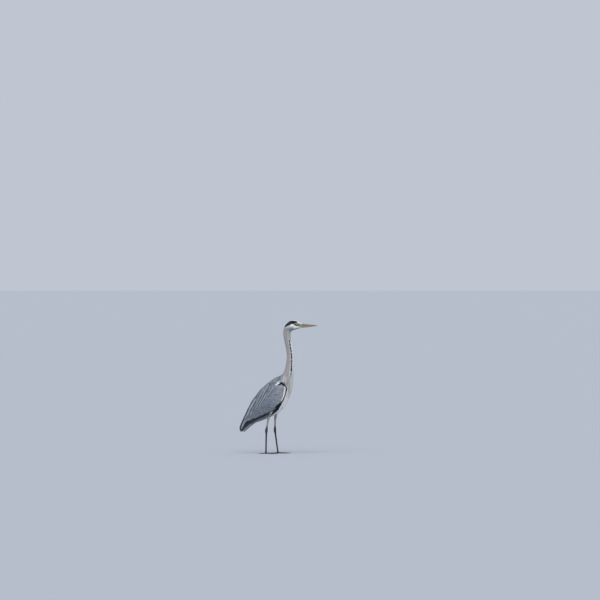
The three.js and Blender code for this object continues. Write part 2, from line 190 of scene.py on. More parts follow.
def lattice(first: Array, second: Array) -> Array:
    """Every pair of two rows of values, as one array with the pair in its last axis."""
    return np.stack(grid(first, second), axis=-1)


def ring_grid(places: Array, columns: int) -> list[Array]:
    """Every ring's place and, evenly round the turn, every column's angle."""
    return grid(places, np.linspace(0, 2 * math.pi, columns, endpoint=False))


def bell(values: Array, middle: Array, width: float) -> Array:
    """Falls off both ways from 1 at the middle, as e to minus the square of the distance over the width."""
    return np.exp(-(((values - middle) / width) ** 2))


def run_length(path: Array) -> Array:
    """How long each path is: the sum of its steps."""
    return np.linalg.norm(np.diff(path, axis=1), axis=-1).sum(axis=1)


def side_view(point: Array) -> Array:
    """The x and z of places."""
    return point[..., [0, 2]]


def profile(pairs: Profile, u: Array) -> Array:
    """A profile's value at u."""
    return np.interp(u, *zip(*(pairs if isinstance(pairs, tuple) else ((0, pairs),))))


def blend(a: Array, b: Array, share: Array) -> Array:
    """Mixes colours a and b, with share of b, one share to a row."""
    share = np.asarray(share)[..., None]
    return a * (1 - share) + b * share


def layers(colour: Array, *coats: tuple["Tone", Array]) -> Array:
    """Lays tones over a colour in turn, each by its own share."""
    for tone, share in coats:
        colour = blend(colour, tone.rgb, share)
    return colour


def rows_at(rows: Array, t: Array) -> Array:
    """Reads a table at fractional rows.

    The value is a Catmull-Rom spline through the rows, and goes on straight past the first and the last.

    Args:
        rows: the table, one station to a row.
        t: places as row numbers, any shape.

    Returns:
        The table's values, with the shape of t and one more axis.
    """
    last = len(rows) - 1
    padded = np.vstack([2 * rows[0] - rows[1], rows, 2 * rows[-1] - rows[-2]])
    held = np.clip(t, 0, last)
    i = np.clip(np.floor(held).astype(int), 0, last - 1)
    u = (held - i)[..., None]
    p0, p1, p2, p3 = padded[i], padded[i + 1], padded[i + 2], padded[i + 3]
    m1, m2 = (p2 - p0) / 2, (p3 - p1) / 2
    value = p1 + u * m1 + u**2 * (3 * (p2 - p1) - 2 * m1 - m2) + u**3 * (2 * (p1 - p2) + m1 + m2)
    slope = m1 + 2 * u * (3 * (p2 - p1) - 2 * m1 - m2) + 3 * u**2 * (2 * (p1 - p2) + m1 + m2)
    return value + slope * (np.asarray(t) - held)[..., None]


def noise(points: Array, scale: float, seed: int) -> Array:
    """Smooth noise from -1 to 1 over space: a sum of six sine waves in seeded directions.

    Args:
        points: places in millimetres, in the last axis.
        scale: the longest wave in millimetres.
        seed: picks the waves.

    Returns:
        One value to a place.
    """
    rng = np.random.default_rng(seed)
    total = np.zeros(points.shape[:-1])
    for _ in range(6):
        direction = unit(rng.normal(size=3))
        wave = 2 * math.pi / (scale * rng.uniform(0.35, 1.0))
        total += np.sin(points @ direction * wave + rng.uniform(0, 2 * math.pi)) / 2.4
    return np.clip(total / 1.4, -1, 1)


# ---------- forms
class Form:
    """A surface over two parameters, u along the feathers' run and v across it, in millimetres."""

    u_range = (0.0, 1.0)
    v_range = (0.0, 1.0)
    closed = False  # whether v comes round on itself
    hand = 1.0  # turns the cross product of the two rates outwards
    rectangle: tuple[float, float, float, float]  # its place on the unwrap: low u, low v, high u, high v

    def point(self, u: Array, v: Array) -> Array:
        """Places on the surface, one to each pair of u and v."""
        raise NotImplementedError

    def measure(self, u: Array, v: Array) -> tuple[Array, Array, Array, Array]:
        """The surface's place, normal and rates, by central differences.

        Args:
            u: first parameter.
            v: second parameter.

        Returns:
            Points, outward normals, and how the point moves with u and with v.
        """
        step_u = (self.u_range[1] - self.u_range[0]) * 1e-3
        step_v = (self.v_range[1] - self.v_range[0]) * 1e-3
        point = self.point(u, v)
        along = (self.point(u + step_u, v) - self.point(u - step_u, v)) / (2 * step_u)
        across = (self.point(u, v + step_v) - self.point(u, v - step_v)) / (2 * step_v)
        return point, unit(np.cross(along, across)) * self.hand, along, across

    def unwrap(self, u: Array, v: Array) -> Array:
        """The surface's own map: u and v spread over its rectangle."""
        low_u, low_v, high_u, high_v = self.rectangle
        along = (u - self.u_range[0]) / (self.u_range[1] - self.u_range[0])
        across = (v - self.v_range[0]) / (self.v_range[1] - self.v_range[0])
        if self.closed:
            across = across % 1.0
        spread = [
            low_u + np.clip(along, 0.004, 0.996) * (high_u - low_u),
            low_v + np.clip(across, 0.004, 0.996) * (high_v - low_v),
        ]
        return np.stack(spread, axis=-1)


class BodyForm(Form):
    """Head, neck and trunk: an ellipse on each rib, u along the ribs from the tail to the bill, v round it.

    v is 0 along the back and pi along the breast, and grows by the bird's left.
    """

    u_range = (0.0, BILL_EDGE)
    v_range = (0.0, 2 * math.pi)
    closed = True
    rectangle = (0.01, 0.01, 0.99, 0.55)

    def point(self, u: Array, v: Array) -> Array:
        """Middle of the rib, plus cos v of its half depth towards the back, plus sin v of its half width."""
        back_x, back_z, front_x, front_z, half = np.moveaxis(rows_at(RIBS, u), -1, 0)
        x = (back_x + front_x) / 2 + (back_x - front_x) / 2 * np.cos(v)
        z = (back_z + front_z) / 2 + (back_z - front_z) / 2 * np.cos(v)
        return np.stack([x, half * np.sin(v), z], axis=-1)


@dataclass
class RowForm(Form):
    """A form whose table has one station to a row, so that u is the row's number."""

    rows: Array
    rectangle: tuple[float, float, float, float]

    def __post_init__(self) -> None:
        """Takes the range of u from the table."""
        self.u_range = (0.0, float(len(self.rows) - 1))


@dataclass
class BladeForm(RowForm):
    """The outer face of a folded wing or of the scapular tract, u along it and v from its upper edge down."""

    side: int

    @property
    def hand(self) -> float:
        """Turns the normal to the bird's own side."""
        return -float(self.side)

    def point(self, u: Array, v: Array) -> Array:
        """The outer face, bowed out by the table's bulge."""
        return self.sheet(u, v, rows_at(self.rows, u)[..., 6])

    def sheet(self, u: Array, v: Array, bulge: Array) -> Array:
        """A chord from the upper to the lower edge, bowed out by bulge times sin(pi v) to the power 0.9."""
        ux, uy, uz, lx, ly, lz = np.moveaxis(rows_at(self.rows, u)[..., :6], -1, 0)
        upper = np.stack([ux, self.side * uy, uz], axis=-1)
        lower = np.stack([lx, self.side * ly, lz], axis=-1)
        held = np.clip(v, 0, 1)
        chord = lower - upper
        away = np.zeros_like(chord)
        away[..., 1] = self.side
        line = unit(chord)
        away = unit(away - line * np.sum(away * line, axis=-1, keepdims=True))
        share = (1 - np.cos(np.pi * held)) / 2 + (v - held)
        bow = bulge * np.maximum(np.sin(np.pi * held), 1e-6) ** 0.9
        return upper + chord * share[..., None] + away * bow[..., None]


class TailForm(RowForm):
    """The tail, u from its root to its end and v round it: 0 at its left edge, a quarter turn at its top."""

    v_range = (0.0, 2 * math.pi)
    closed = True

    def point(self, u: Array, v: Array) -> Array:
        """A flat ellipse that droops at its edges by the arch times cos v squared."""
        x, z, half, thick = np.moveaxis(rows_at(self.rows, u), -1, 0)
        droop = TAIL_ARCH * np.cos(v) ** 2
        return np.stack(
            [x - thick * np.sin(v) * 0.6, half * np.cos(v), z + thick * np.sin(v) * 0.8 - droop], axis=-1
        )


class LimbForm(RowForm):
    """A limb as a tube through rows of x, y, z, width radius and depth radius; v is 0 at its front."""

    v_range = (0.0, 2 * math.pi)
    closed = True
    hand = -1.0

    def point(self, u: Array, v: Array) -> Array:
        """The path, plus cos v of the depth forwards, plus sin v of the width sideways."""
        here = rows_at(self.rows, u)
        along = unit(rows_at(self.rows, u + 0.05)[..., :3] - rows_at(self.rows, u - 0.05)[..., :3])
        ahead = np.zeros_like(along)
        ahead[..., 0] = 1
        across = unit(np.cross(along, ahead))
        depth = np.cross(across, along)
        wide, deep = here[..., 3:4], here[..., 4:5]
        return here[..., :3] + across * wide * np.sin(v)[..., None] + depth * deep * np.cos(v)[..., None]


@dataclass
class DrapeForm(Form):
    """The outermost face of trunk, shoulder and wing on one side, as a cloth laid over them would lie.

    Its height over the plane of symmetry is the greatest that the three forms reach in each cell, averaged
    with its neighbours. u runs down and back with the long plumes, and v square to it, down and forwards,
    both in millimetres from the middle.
    """

    side: int
    lie: tuple[float, float] = (-0.46, -0.888)  # the run of u, as x and z
    middle: tuple[float, float] = (-90.0, 400.0)
    low: tuple[float, float] = (-320.0, 100.0)  # the lowest corner of the cells, as x and z
    cell: float = 4.0
    cells: tuple[int, int] = (112, 150)

    def __post_init__(self) -> None:
        """Finds the greatest height in each cell, and where that place lies on the unwrap."""
        self.u_range, self.v_range, self.hand = (-240.0, 300.0), (-180.0, 180.0), -float(self.side)
        half_turn = (0.0, math.pi) if self.side == LEFT else (math.pi, 2 * math.pi)
        samples = []
        for form, u_span, v_span in (
            (BODY_FORM, (0.0, 10.5), half_turn), (WING_FORM[self.side], (0.0, 12.0), (0.0, 1.0)),
            (SCAPULAR_FORM[self.side], (0.0, 9.0), (0.0, 1.0)),
        ):
            u, v = grid(np.linspace(*u_span, 600), np.linspace(*v_span, 200))
            samples.append(np.concatenate([form.point(u, v), form.unwrap(u, v)], axis=-1).reshape(-1, 5))
        rising = np.concatenate(samples)
        rising = rising[np.argsort(rising[:, 1] * self.side)]
        spot = np.round((rising[:, [0, 2]] - self.low) / self.cell).astype(int)
        self.heights, self.patches = np.zeros(self.cells), np.zeros((*self.cells, 2))
        self.heights[spot[:, 0], spot[:, 1]] = rising[:, 1] * self.side
        self.patches[spot[:, 0], spot[:, 1]] = rising[:, 3:]
        for _ in range(3):
            padded = np.pad(self.heights, 1, mode="edge")
            self.heights = sum(
                padded[i:i + self.cells[0], j:j + self.cells[1]] for i in range(3) for j in range(3)
            ) / 9

    def flat(self, u: Array, v: Array) -> Array:
        """The place seen from the side, as x and z: the middle, plus u along the lie and v square to it."""
        u, v = np.broadcast_arrays(u, v)
        lie, square = np.array(self.lie), np.array([-self.lie[1], self.lie[0]])
        return np.array(self.middle) + u[..., None] * lie + v[..., None] * square

    def point(self, u: Array, v: Array) -> Array:
        """The place seen from the side, at the height blended between the four nearest cells."""
        flat = self.flat(u, v)
        spot = np.clip((flat - self.low) / self.cell, 0, np.array(self.cells) - 1.001)
        i, j = spot[..., 0].astype(int), spot[..., 1].astype(int)
        a, b = spot[..., 0] - i, spot[..., 1] - j
        near = self.heights[i, j] * (1 - b) + self.heights[i, j + 1] * b
        far = self.heights[i + 1, j] * (1 - b) + self.heights[i + 1, j + 1] * b
        return np.stack([flat[..., 0], self.side * (near * (1 - a) + far * a), flat[..., 1]], axis=-1)

    def unwrap(self, u: Array, v: Array) -> Array:
        """The unwrap of the form that carries the place."""
        spot = np.round((self.flat(u, v) - self.low) / self.cell).astype(int)
        spot = np.clip(spot, 0, np.array(self.cells) - 1)
        return self.patches[spot[..., 0], spot[..., 1]]


BODY_FORM = BodyForm()
WING_FORM = {
    RIGHT: BladeForm(WING_ROWS, (0.01, 0.56, 0.30, 0.99), RIGHT),
    LEFT: BladeForm(WING_ROWS, (0.31, 0.56, 0.60, 0.99), LEFT),
}
SCAPULAR_FORM = {
    RIGHT: BladeForm(SCAPULAR_ROWS, (0.61, 0.56, 0.79, 0.78), RIGHT),
    LEFT: BladeForm(SCAPULAR_ROWS, (0.80, 0.56, 0.99, 0.78), LEFT),
}
DRAPE_FORM = {side: DrapeForm(side) for side in (RIGHT, LEFT)}
TAIL_FORM = TailForm(TAIL_ROWS, (0.62, 0.8, 0.99, 0.99))


def thigh_form(side: int) -> LimbForm:
    """The feathered thigh of one side, from inside the trunk to the bare shank."""
    x, z = SHANK_TOP[side]
    lean = (x - HOCK_X[side]) / (z - HOCK_HEIGHT)
    rows = [
        [x + dx + lean * dz, side * (STANCE + dy), z + dz, radius * 0.8, radius]
        for dx, dy, dz, radius in THIGH_ROWS
    ]
    low_u = 0.61 if side == RIGHT else 0.81
    return LimbForm(np.array(rows), (low_u, 0.80, low_u + 0.18, 0.99))


THIGH_FORM = {side: thigh_form(side) for side in (RIGHT, LEFT)}


# ---------- markings
class Tone(Enum):
    """The bird's colours, as sRGB hex: plumage, bare face, eye, legs, claws and bill."""

    WHITE = "#eceded"
    CREAM = "#dedecf"
    SMOKE = "#a9adb0"
    MAUVE = "#918e8f"
    WARM_GREY = "#7f7c81"
    ASH = "#6e757e"
    SLATE = "#59616b"
    DEEP_SLATE = "#3f454f"
    SILVER = "#a9b0bc"
    BLACK = "#101116"
    PRIMARY = "#15161c"
    OLIVE_GREY = "#85887e"
    BARE = "#7e7d66"
    EYE_SKIN = "#34372f"
    GAPE_SKIN = "#a49c79"
    LID = "#5c5c40"
    IRIS = "#e3c84a"
    AMBER = "#b98a25"
    PUPIL = "#0d0d0e"
    TARSUS = "#111214"
    TARSUS_WORN = "#1c1d20"
    SHANK = "#8a8175"
    HOCK = "#2a2a2b"
    PLATE_GAP = "#6a665e"
    TOE = "#2b2c2d"
    TOE_WORN = "#414040"
    TOE_GAP = "#6f6a60"
    CLAW = "#3a3631"
    CLAW_BASE = "#6a6256"
    BILL_UPPER = "#6f624b"
    BILL_LOWER = "#9a8a66"
    BILL_FLUSH = "#8c6450"
    BILL_STREAK = "#62543d"
    CULMEN = "#57524a"
    BILL_TIP = "#40372c"
    BILL_ROOT = "#8f8e72"
    # painted shade inside the nostril slit
    NOSTRIL = "#1d1a16"

    @property
    def rgb(self) -> Array:
        """The tone as linear red, green and blue."""
        return linear(self.value)


class Band(Enum):
    """Marks that show from the side, each drawn along a curve as stations of x, z and half breadth."""

    CREST = (
        (131, 947.5, 3), (122, 948, 7), (108, 945.8, 11.4), (92, 945, 12.2), (73, 941.5, 11.5), (61, 934, 9),
        (49, 918, 5), (44, 911, 3)
    )
    BROW = ((112, 937, 6), (124, 938, 8), (138, 934, 8.5), (150, 930, 7.5), (164, 927, 7))
    EYE_PATCH = ((111, 927, 4.5), (121, 927, 7), (134, 926.5, 8), (142, 925.5, 6))
    LORES = ((141, 926, 6), (152, 923, 7.5), (165, 921, 8.5))
    CHEEK = ((161, 912.5, 3), (146, 914, 4.5), (128, 914, 5), (112, 918, 6.5), (94, 924, 6.5), (70, 924.5, 5))
    # painted shade along the underside of the chin and the throat
    THROAT = ((150, 904, 3.5), (132, 899, 5.5), (114, 895, 6.5), (98, 894, 9), (84, 893, 10))
    GAPE = ((140, 915.5, 1.8), (152, 914, 2.6), (166, 912.5, 3))
    SHOULDER = ((-4, 496, 3.5), (7, 502, 6), (19, 506, 8), (29.5, 500.5, 6.8), (38.5, 493, 5), (45, 486, 3.8))
    SHOULDER_SPOT = ((-26, 493, 2.8), (-19, 497, 3.8), (-10, 502, 4), (-1, 507, 3.4), (4, 510.5, 2.2))
    # painted shadow line where the hanging plumes lie over the breast
    PLUME_SHADE = ((77, 512, 3), (76, 495, 3.5), (70, 465, 4), (72, 440, 3.5), (76, 425, 2.5))
    # painted shadow in the gap between the wing's white front edge and the breast
    BREAST_LINE = (
        (46, 487, 3.4), (54, 470, 3.7), (52.5, 455, 3.7), (48, 438, 3.2), (40, 411, 2.6), (28, 385, 3.6)
    )
    WING_EDGE = (
        (39, 486, 3), (44, 469, 5.3), (42, 455, 5.7), (39, 438, 5.6), (34, 412, 5), (24, 389, 4),
        (16, 376, 2.6)
    )
    FLANK = (
        (25.5, 386, 4.5), (15.5, 368, 7.5), (6, 353, 11), (-7, 337, 14.5), (-20, 320, 16), (-31, 304, 12),
        (-41, 293, 8), (-52, 284, 4)
    )
    FLANK_WHITE = ((15, 335, 4), (8, 321, 6.5), (-6, 306, 6.5), (-20, 294, 5.5), (-44, 284, 4))
    # painted shade along the shaded underside of the vent and the tail
    VENT_LINE = (
        (-96, 255, 2.6), (-118, 246, 3.2), (-143, 237, 3.6), (-155, 230.5, 4.2), (-169, 223.5, 4),
        (-190, 214, 3), (-208, 201.5, 3), (-226, 183, 2.6), (-235, 172, 2.4)
    )
    FLANK_STREAK = (
        (24, 331, 3), (14, 321, 4), (-1.5, 306, 4.8), (-15, 296, 4.8), (-40, 281, 4), (-64, 269, 3)
    )

    def depth(self, point: Array) -> Array:
        """How far inside the mark a place lies.

        The mark is a chain of discs along its curve. The value is 1 less the distance to the nearest disc's
        middle over that disc's radius, so it is 1 on the curve, 0 at the mark's edge and negative outside.
        """
        stations = np.array(self.value, dtype=float)
        curve = rows_at(stations, np.linspace(0, len(stations) - 1, 48))
        flat = point.reshape(-1, 3)[:, [0, 2]]
        gap = np.sqrt(((flat[:, None] - curve[None, :, :2]) ** 2).sum(axis=-1)) / curve[None, :, 2]
        return (1 - gap.min(axis=1)).reshape(point.shape[:-1])

    def cover(self, point: Array, softness: float = 0.25) -> Array:
        """The mark's strength, from 0 outside to 1 inside, with a ragged edge."""
        ragged = noise(point, 9, 5) * 0.12
        return smooth(-softness, softness, self.depth(point) + ragged)


# Lines that the markings follow: the top and the foot of the black quills as x and z, then, by z, the x of
# the folded wing's rear edge and of the slate back's front edge, and the dashes' degrees from the back.
PRIMARY_LINE = ((-268, 166), (-246, 210), (-229, 231), (-87, 296), (40, 354))
UNDER_LINE = ((-262, 168), (-245, 192), (-227, 216), (-180, 238), (-144, 256))
REAR_EDGE = (
    (160, -275), (188, -275), (202, -273), (231, -262), (260, -247.5), (308, -221.5), (350, -199), (394, -164)
)
MANTLE_EDGE = ((480, 2), (526, 17), (562, 33), (585, 22))
DASH_LINE = ((480, 138), (540, 130), (600, 119), (640, 113), (760, 114), (830, 120))


def over_primaries(point: Array) -> Array:
    """How far a place is over the line under which the folded wing shows its black flight feathers."""
    return point[..., 2] - profile(PRIMARY_LINE, point[..., 0])


def rear_rim(colour: Array, point: Array) -> Array:
    """Black along the folded wing's rear edge, where the longest quills look out from under the grey ones."""
    x, z = point[..., 0], point[..., 2]
    edge = profile(REAR_EDGE, z)
    middle = smooth(20, 12, np.abs(point[..., 1]))
    return layers(colour, (Tone.PRIMARY, smooth(8, 2, x - edge) * smooth(385, 350, z) * middle * 0.9))


def vent_shade_line(colour: Array, point: Array) -> Array:
    """Painted shade: a dusky line along the lower edge of the vent and the tail, on their underside."""
    return layers(colour, (Tone.DEEP_SLATE, Band.VENT_LINE.cover(point, 0.4) * 0.75))


def paint_head(point: Array) -> Array:
    """White, black over the eye, a grey-green bare face, a grey nape and painted shade under the chin."""
    x, z = point[..., 0], point[..., 2]
    on_side = smooth(2.5, 8.5, np.abs(point[..., 1]))
    return layers(
        Tone.WHITE.rgb,
        (Tone.SMOKE, 0.5 - 0.4 * smooth(98, 118, x)),
        # greyer to the lower rear; then painted shade where the neck bends under the head, and under the chin
        (Tone.SMOKE, smooth(114, 98, x) * smooth(923, 914, z)),
        (Tone.WARM_GREY, smooth(100, 78, x) * smooth(912, 899, z) * 0.9),
        (Tone.WARM_GREY, Band.THROAT.cover(point, 0.6) * 0.85),
        (Tone.OLIVE_GREY, Band.BROW.cover(point, 0.4) * 0.8 * on_side),
        (Tone.BARE, Band.LORES.cover(point) * 0.9),
        (Tone.EYE_SKIN, Band.EYE_PATCH.cover(point)),
        (Tone.WHITE, Band.CHEEK.cover(point) * 0.8),
        (Tone.GAPE_SKIN, Band.GAPE.cover(point, 0.4) * on_side),
        (Tone.OLIVE_GREY, smooth(162.5, 165, x) * 0.8),
        (Tone.BLACK, Band.CREST.cover(point, 0.2) * on_side),
    )


def front_angle(v: Array) -> Array:
    """Degrees round the body form from the back, 0, to the front, 180, the same on both sides."""
    return np.degrees(np.pi - np.abs((v % (2 * np.pi)) - np.pi))


def paint_neck(point: Array, v: Array) -> Array:
    """Mauve grey, darker behind, white in front with a row of black dashes down each side of the white."""
    angle, z = front_angle(v), point[..., 2]
    mottle = smooth(0.0, 0.8, noise(point * np.array([1, 1, 0.4]), 22, 4))
    front = smooth(86, 100, angle + 4 * noise(point, 40, 3)) * (0.6 + 0.4 * smooth(112, 128, angle))
    return layers(
        Tone.MAUVE.rgb,
        (Tone.WARM_GREY, 0.3 * smooth(40, 8, angle)),
        (Tone.WARM_GREY, mottle * (0.12 + 0.2 * smooth(800, 860, z))),
        (Tone.WHITE, front * (1 - 0.8 * smooth(800, 835, z))),
    )


def neck_dashes(colour: Array, point: Array, v: Array) -> Array:
    """A row of black dashes down each side of the white, where a sine of the height, 23 mm long, is high."""
    angle, z = front_angle(v), point[..., 2]
    dash = 0.5 + 0.5 * np.sin((z + 2.5 * noise(point, 30, 8)) * 2 * np.pi / 23 + 1.5 * noise(point, 120, 9))
    row = smooth(17, 11.5, np.abs(angle - profile(DASH_LINE, z)))
    reach = smooth(520, 585, z) * smooth(828, 814, z)
    return layers(colour, (Tone.BLACK, smooth(0.0, 0.12, dash) * row * reach))


def shoulder_marks(colour: Array, point: Array) -> Array:
    """Black at the bend, a white spot, the white front edge and painted shadow between it and the breast."""
    return layers(
        colour,
        (Tone.WHITE, Band.WING_EDGE.cover(point, 0.15)),
        # painted shadow in the gap between the wing's front edge and the breast
        (Tone.BLACK, Band.BREAST_LINE.cover(point, 0.15)),
        (Tone.BLACK, Band.SHOULDER.cover(point, 0.15)),
        (Tone.WHITE, Band.SHOULDER_SPOT.cover(point, 0.15) * 0.75),
    )


def flank_marks(colour: Array, point: Array) -> Array:
    """The black band from the wing's front edge to the thigh, and the white and the dark line under it."""
    return layers(
        colour,
        (Tone.BLACK, Band.FLANK_STREAK.cover(point, 0.3) * 0.85),
        (Tone.WHITE, Band.FLANK_WHITE.cover(point, 0.2)),
        (Tone.BLACK, Band.FLANK.cover(point, 0.15) * smooth(8, 20, np.abs(point[..., 1]))),
    )


def paint_trunk(point: Array, v: Array) -> Array:
    """Cream and white below, mauve grey at the neck's foot, slate on the back, marks and painted shade."""
    angle = front_angle(v)
    x, z = point[..., 0], point[..., 2]
    streak = smooth(0.1, 0.6, noise(point * np.array([1, 1, 0.16]), 16, 12)) * smooth(380, 430, z)
    # warm grey under the tail's root: partly the vent's own pale grey, partly painted shade on the underside
    vent_grey_and_shade = smooth(-45, -90, x) * (0.55 + 0.25 * smooth(172, 140, angle)) * smooth(70, 95, angle)
    colour = layers(
        Tone.CREAM.rgb,
        (Tone.WHITE, 0.8 * smooth(445, 400, z)),
        (Tone.MAUVE, smooth(400, 500, z) * smooth(140, 112, angle)),
        (Tone.WARM_GREY, streak * 0.3 * smooth(168, 145, angle)),
        # painted shadow line under the hanging breast plumes
        (Tone.WARM_GREY, Band.PLUME_SHADE.cover(point, 0.5) * 0.7),
        (Tone.SLATE, smooth(78, 60, angle) * smooth(5, -5, x - profile(MANTLE_EDGE, z))),
        (Tone.WARM_GREY, vent_grey_and_shade * (1 - 0.7 * smooth(-130, -165, x))),
    )
    return flank_marks(shoulder_marks(vent_shade_line(colour, point), point), point)


def paint_wing(point: Array, *_: Array) -> Array:
    """Slate, paler and warmer in front and darker below, with the marks at the bend and the leading edge."""
    x = point[..., 0]
    colour = layers(
        Tone.SLATE.rgb,
        (Tone.ASH, 0.4 + 0.4 * noise(point, 60, 21)),
        (Tone.MAUVE, smooth(-50, 15, x) * 0.5),
        (Tone.DEEP_SLATE, 0.30 * smooth(0.1, 0.9, noise(point, 30, 22))),
        (Tone.DEEP_SLATE, 0.7 * smooth(100, 35, over_primaries(point)) * smooth(-20, -90, x)),
    )
    colour = rear_rim(shoulder_marks(colour, point), point)
    return layers(colour, (Tone.BLACK, Band.FLANK.cover(point, 0.15) * smooth(-48, -22, x)))


def paint_wing_flesh(point: Array) -> Array:
    """The wing's own markings, black where the flight feathers lie over it."""
    x, z = point[..., 0], point[..., 2]
    return layers(
        paint_wing(point),
        (Tone.PRIMARY, np.maximum(smooth(6, 0, over_primaries(point)), smooth(-190, -205, x))),
        (Tone.ASH, smooth(0, -4, z - profile(UNDER_LINE, x))),
    )


def paint_scapulars(point: Array, *_: Array) -> Array:
    """Blue-grey, darker towards the rear, with the shoulder's marks at its lower front corner."""
    colour = layers(
        Tone.ASH.rgb,
        (Tone.SLATE, 0.6 + 0.4 * noise(point, 40, 61)),
        (Tone.DEEP_SLATE, smooth(-40, -180, point[..., 0]) * 0.6),
    )
    return rear_rim(shoulder_marks(colour, point), point)


def paint_plumes(point: Array, u: Array, v: Array) -> Array:
    """Silver and deep slate by turns across the lie: a sine of v, 18 mm long, that wanders a little."""
    place = np.stack([v, 0.3 * u, 0 * v], axis=-1)
    wave = np.sin((v + 7 * noise(place, 50, 63)) * 2 * np.pi / 18)
    strand = smooth(-0.3, 0.9, wave + 0.5 * noise(place, 26, 64))
    colour = layers(Tone.DEEP_SLATE.rgb, (Tone.SILVER, 0.64 * strand))
    rear = 0.2 + 0.75 * smooth(-25, -85, point[..., 0])
    return rear_rim(blend(paint_scapulars(point), colour, rear), point)


def paint_thigh(point: Array, *_: Array) -> Array:
    """Warm pale grey, darker where the feathers end, with the flank's marks across its top."""
    z = point[..., 2]
    colour = layers(
        Tone.MAUVE.rgb, (Tone.CREAM, smooth(265, 310, z) * 0.9), (Tone.WARM_GREY, smooth(285, 250, z) * 0.6)
    )
    return blend(colour, flank_marks(colour, point), smooth(30, 44, np.abs(point[..., 1])))


# ---------- finishes
def feed(tree: bpy.types.NodeTree, node: bpy.types.Node, inputs: dict) -> None:
    """Links a node's inputs to the sockets given for them, or sets them to the values given."""
    for name, value in inputs.items():
        if isinstance(value, bpy.types.NodeSocket):
            tree.links.new(value, node.inputs[name])
        else:
            node.inputs[name].default_value = value


def add_node(tree: bpy.types.NodeTree, kind: str, links: Optional[dict] = None, **settings) -> bpy.types.Node:
    """Adds a node, with its settings and what feeds it.

    Args:
        tree: the material's nodes.
        kind: the node's type name.
        links: input name or number to a socket, which is linked, or to a value, which is set.
        settings: the node's own properties.

    Returns:
        The new node.
    """
    node = tree.nodes.new(kind)
    for name, value in settings.items():
        setattr(node, name, value)
    feed(tree, node, links or {})
    return node


def add_math(tree: bpy.types.NodeTree, operation: str, *inputs) -> bpy.types.NodeSocket:
    """Adds a math node with its inputs in order, and gives its result."""
    return add_node(tree, "ShaderNodeMath", dict(enumerate(inputs)), operation=operation).outputs[0]


@dataclass(frozen=True)
class Finish:
    """A surface whose colour is painted on its points, with grain and relief at real sizes."""

    name: str
    roughness: float
    specular: float
    sheen: float
    coat: float
    grain_mm: float  # length of the colour's fine variation
    grain_strength: float
    barb_mm: float = 0.0  # spacing of a vane's barbs, drawn coarser than the real 0.3 mm so that they show
    pebble_mm: float = 0.0  # breadth of scales or pores
    relief_mm: float = 0.1

    def material(self) -> bpy.types.Material:
        """Builds the node material, once for each finish."""
        known = bpy.data.materials.get(self.name)
        if known is not None:
            return known
        made = bpy.data.materials.new(self.name)
        made.use_nodes = True
        tree = made.node_tree
        shader = tree.nodes["Principled BSDF"]
        paint = add_node(tree, "ShaderNodeAttribute", attribute_name="Plumage")
        place = add_node(tree, "ShaderNodeTexCoord")
        grain = add_node(
            tree, "ShaderNodeTexNoise",
            {"Vector": place.outputs["Object"], "Scale": 1 / (self.grain_mm * MM), "Detail": 3.0},
        )
        swing = add_node(
            tree, "ShaderNodeMapRange",
            {"Value": grain.outputs["Fac"], "From Min": 0.25, "From Max": 0.75,
             "To Min": 1 - self.grain_strength, "To Max": 1 + self.grain_strength},
        )
        tinted = add_node(
            tree, "ShaderNodeVectorMath", {0: paint.outputs["Color"], 3: swing.outputs["Result"]},
            operation="SCALE",
        )
        feed(tree, shader, {
            "Base Color": tinted.outputs["Vector"], "Roughness": self.roughness,
            "Specular IOR Level": self.specular, "Sheen Weight": self.sheen, "Coat Weight": self.coat,
        })
        relief = self.relief(tree, place)
        if relief is not None:
            bump = add_node(
                tree, "ShaderNodeBump", {"Height": relief, "Distance": self.relief_mm * MM, "Strength": 0.8}
            )
            feed(tree, shader, {"Normal": bump.outputs["Normal"]})
        return made

    def relief(self, tree: bpy.types.NodeTree, place: bpy.types.Node) -> Optional[bpy.types.NodeSocket]:
        """The height that the bump reads: barbs that slant off the shaft, or rounded scales."""
        if self.barb_mm > 0:
            vane = add_node(tree, "ShaderNodeUVMap", uv_map="Vane")
            parts = add_node(tree, "ShaderNodeSeparateXYZ", {0: vane.outputs["UV"]})
            off_shaft = add_math(tree, "ABSOLUTE", parts.outputs["X"])
            slant = add_math(tree, "MULTIPLY_ADD", off_shaft, 1.4, parts.outputs["Y"])
            return add_math(tree, "SINE", add_math(tree, "MULTIPLY", slant, -2 * math.pi / self.barb_mm))
        if self.pebble_mm > 0:
            scales = add_node(
                tree, "ShaderNodeTexVoronoi",
                {"Vector": place.outputs["Object"], "Scale": 1 / (self.pebble_mm * MM)},
                feature="SMOOTH_F1",
            )
            return add_math(tree, "SUBTRACT", 1.0, scales.outputs["Distance"])
        return None


# Contour feather: soft keratin barbs with no gloss, a faint bloom at grazing angles.
CONTOUR_FEATHER = Finish("contour_feather_keratin", 0.8, 0.22, 0.05, 0, 5, 0.12, barb_mm=1.1, relief_mm=0.10)
# Down-like feather of head and neck: short loose barbs that scatter light, so it looks matt.
SOFT_FEATHER = Finish("soft_feather_keratin", 0.9, 0.2, 0.1, 0, 4, 0.1, barb_mm=0.55, relief_mm=0.03)
# Flight feather: tightly hooked barbs, smooth enough for a dull gloss.
FLIGHT_FEATHER = Finish("flight_feather_keratin", 0.6, 0.25, 0, 0, 12, 0.14, barb_mm=1.3, relief_mm=0.12)
# Ornamental plume: long parallel barbs with a silky sheen.
PLUME_FEATHER = Finish("plume_feather_keratin", 0.68, 0.3, 0.08, 0, 9, 0.12, barb_mm=1.2, relief_mm=0.08)
# Living skin under the coat and round the eye: fine pores, slightly moist.
BIRD_SKIN = Finish("bird_skin", 0.65, 0.22, 0, 0, 7, 0.10, pebble_mm=1.6, relief_mm=0.16)
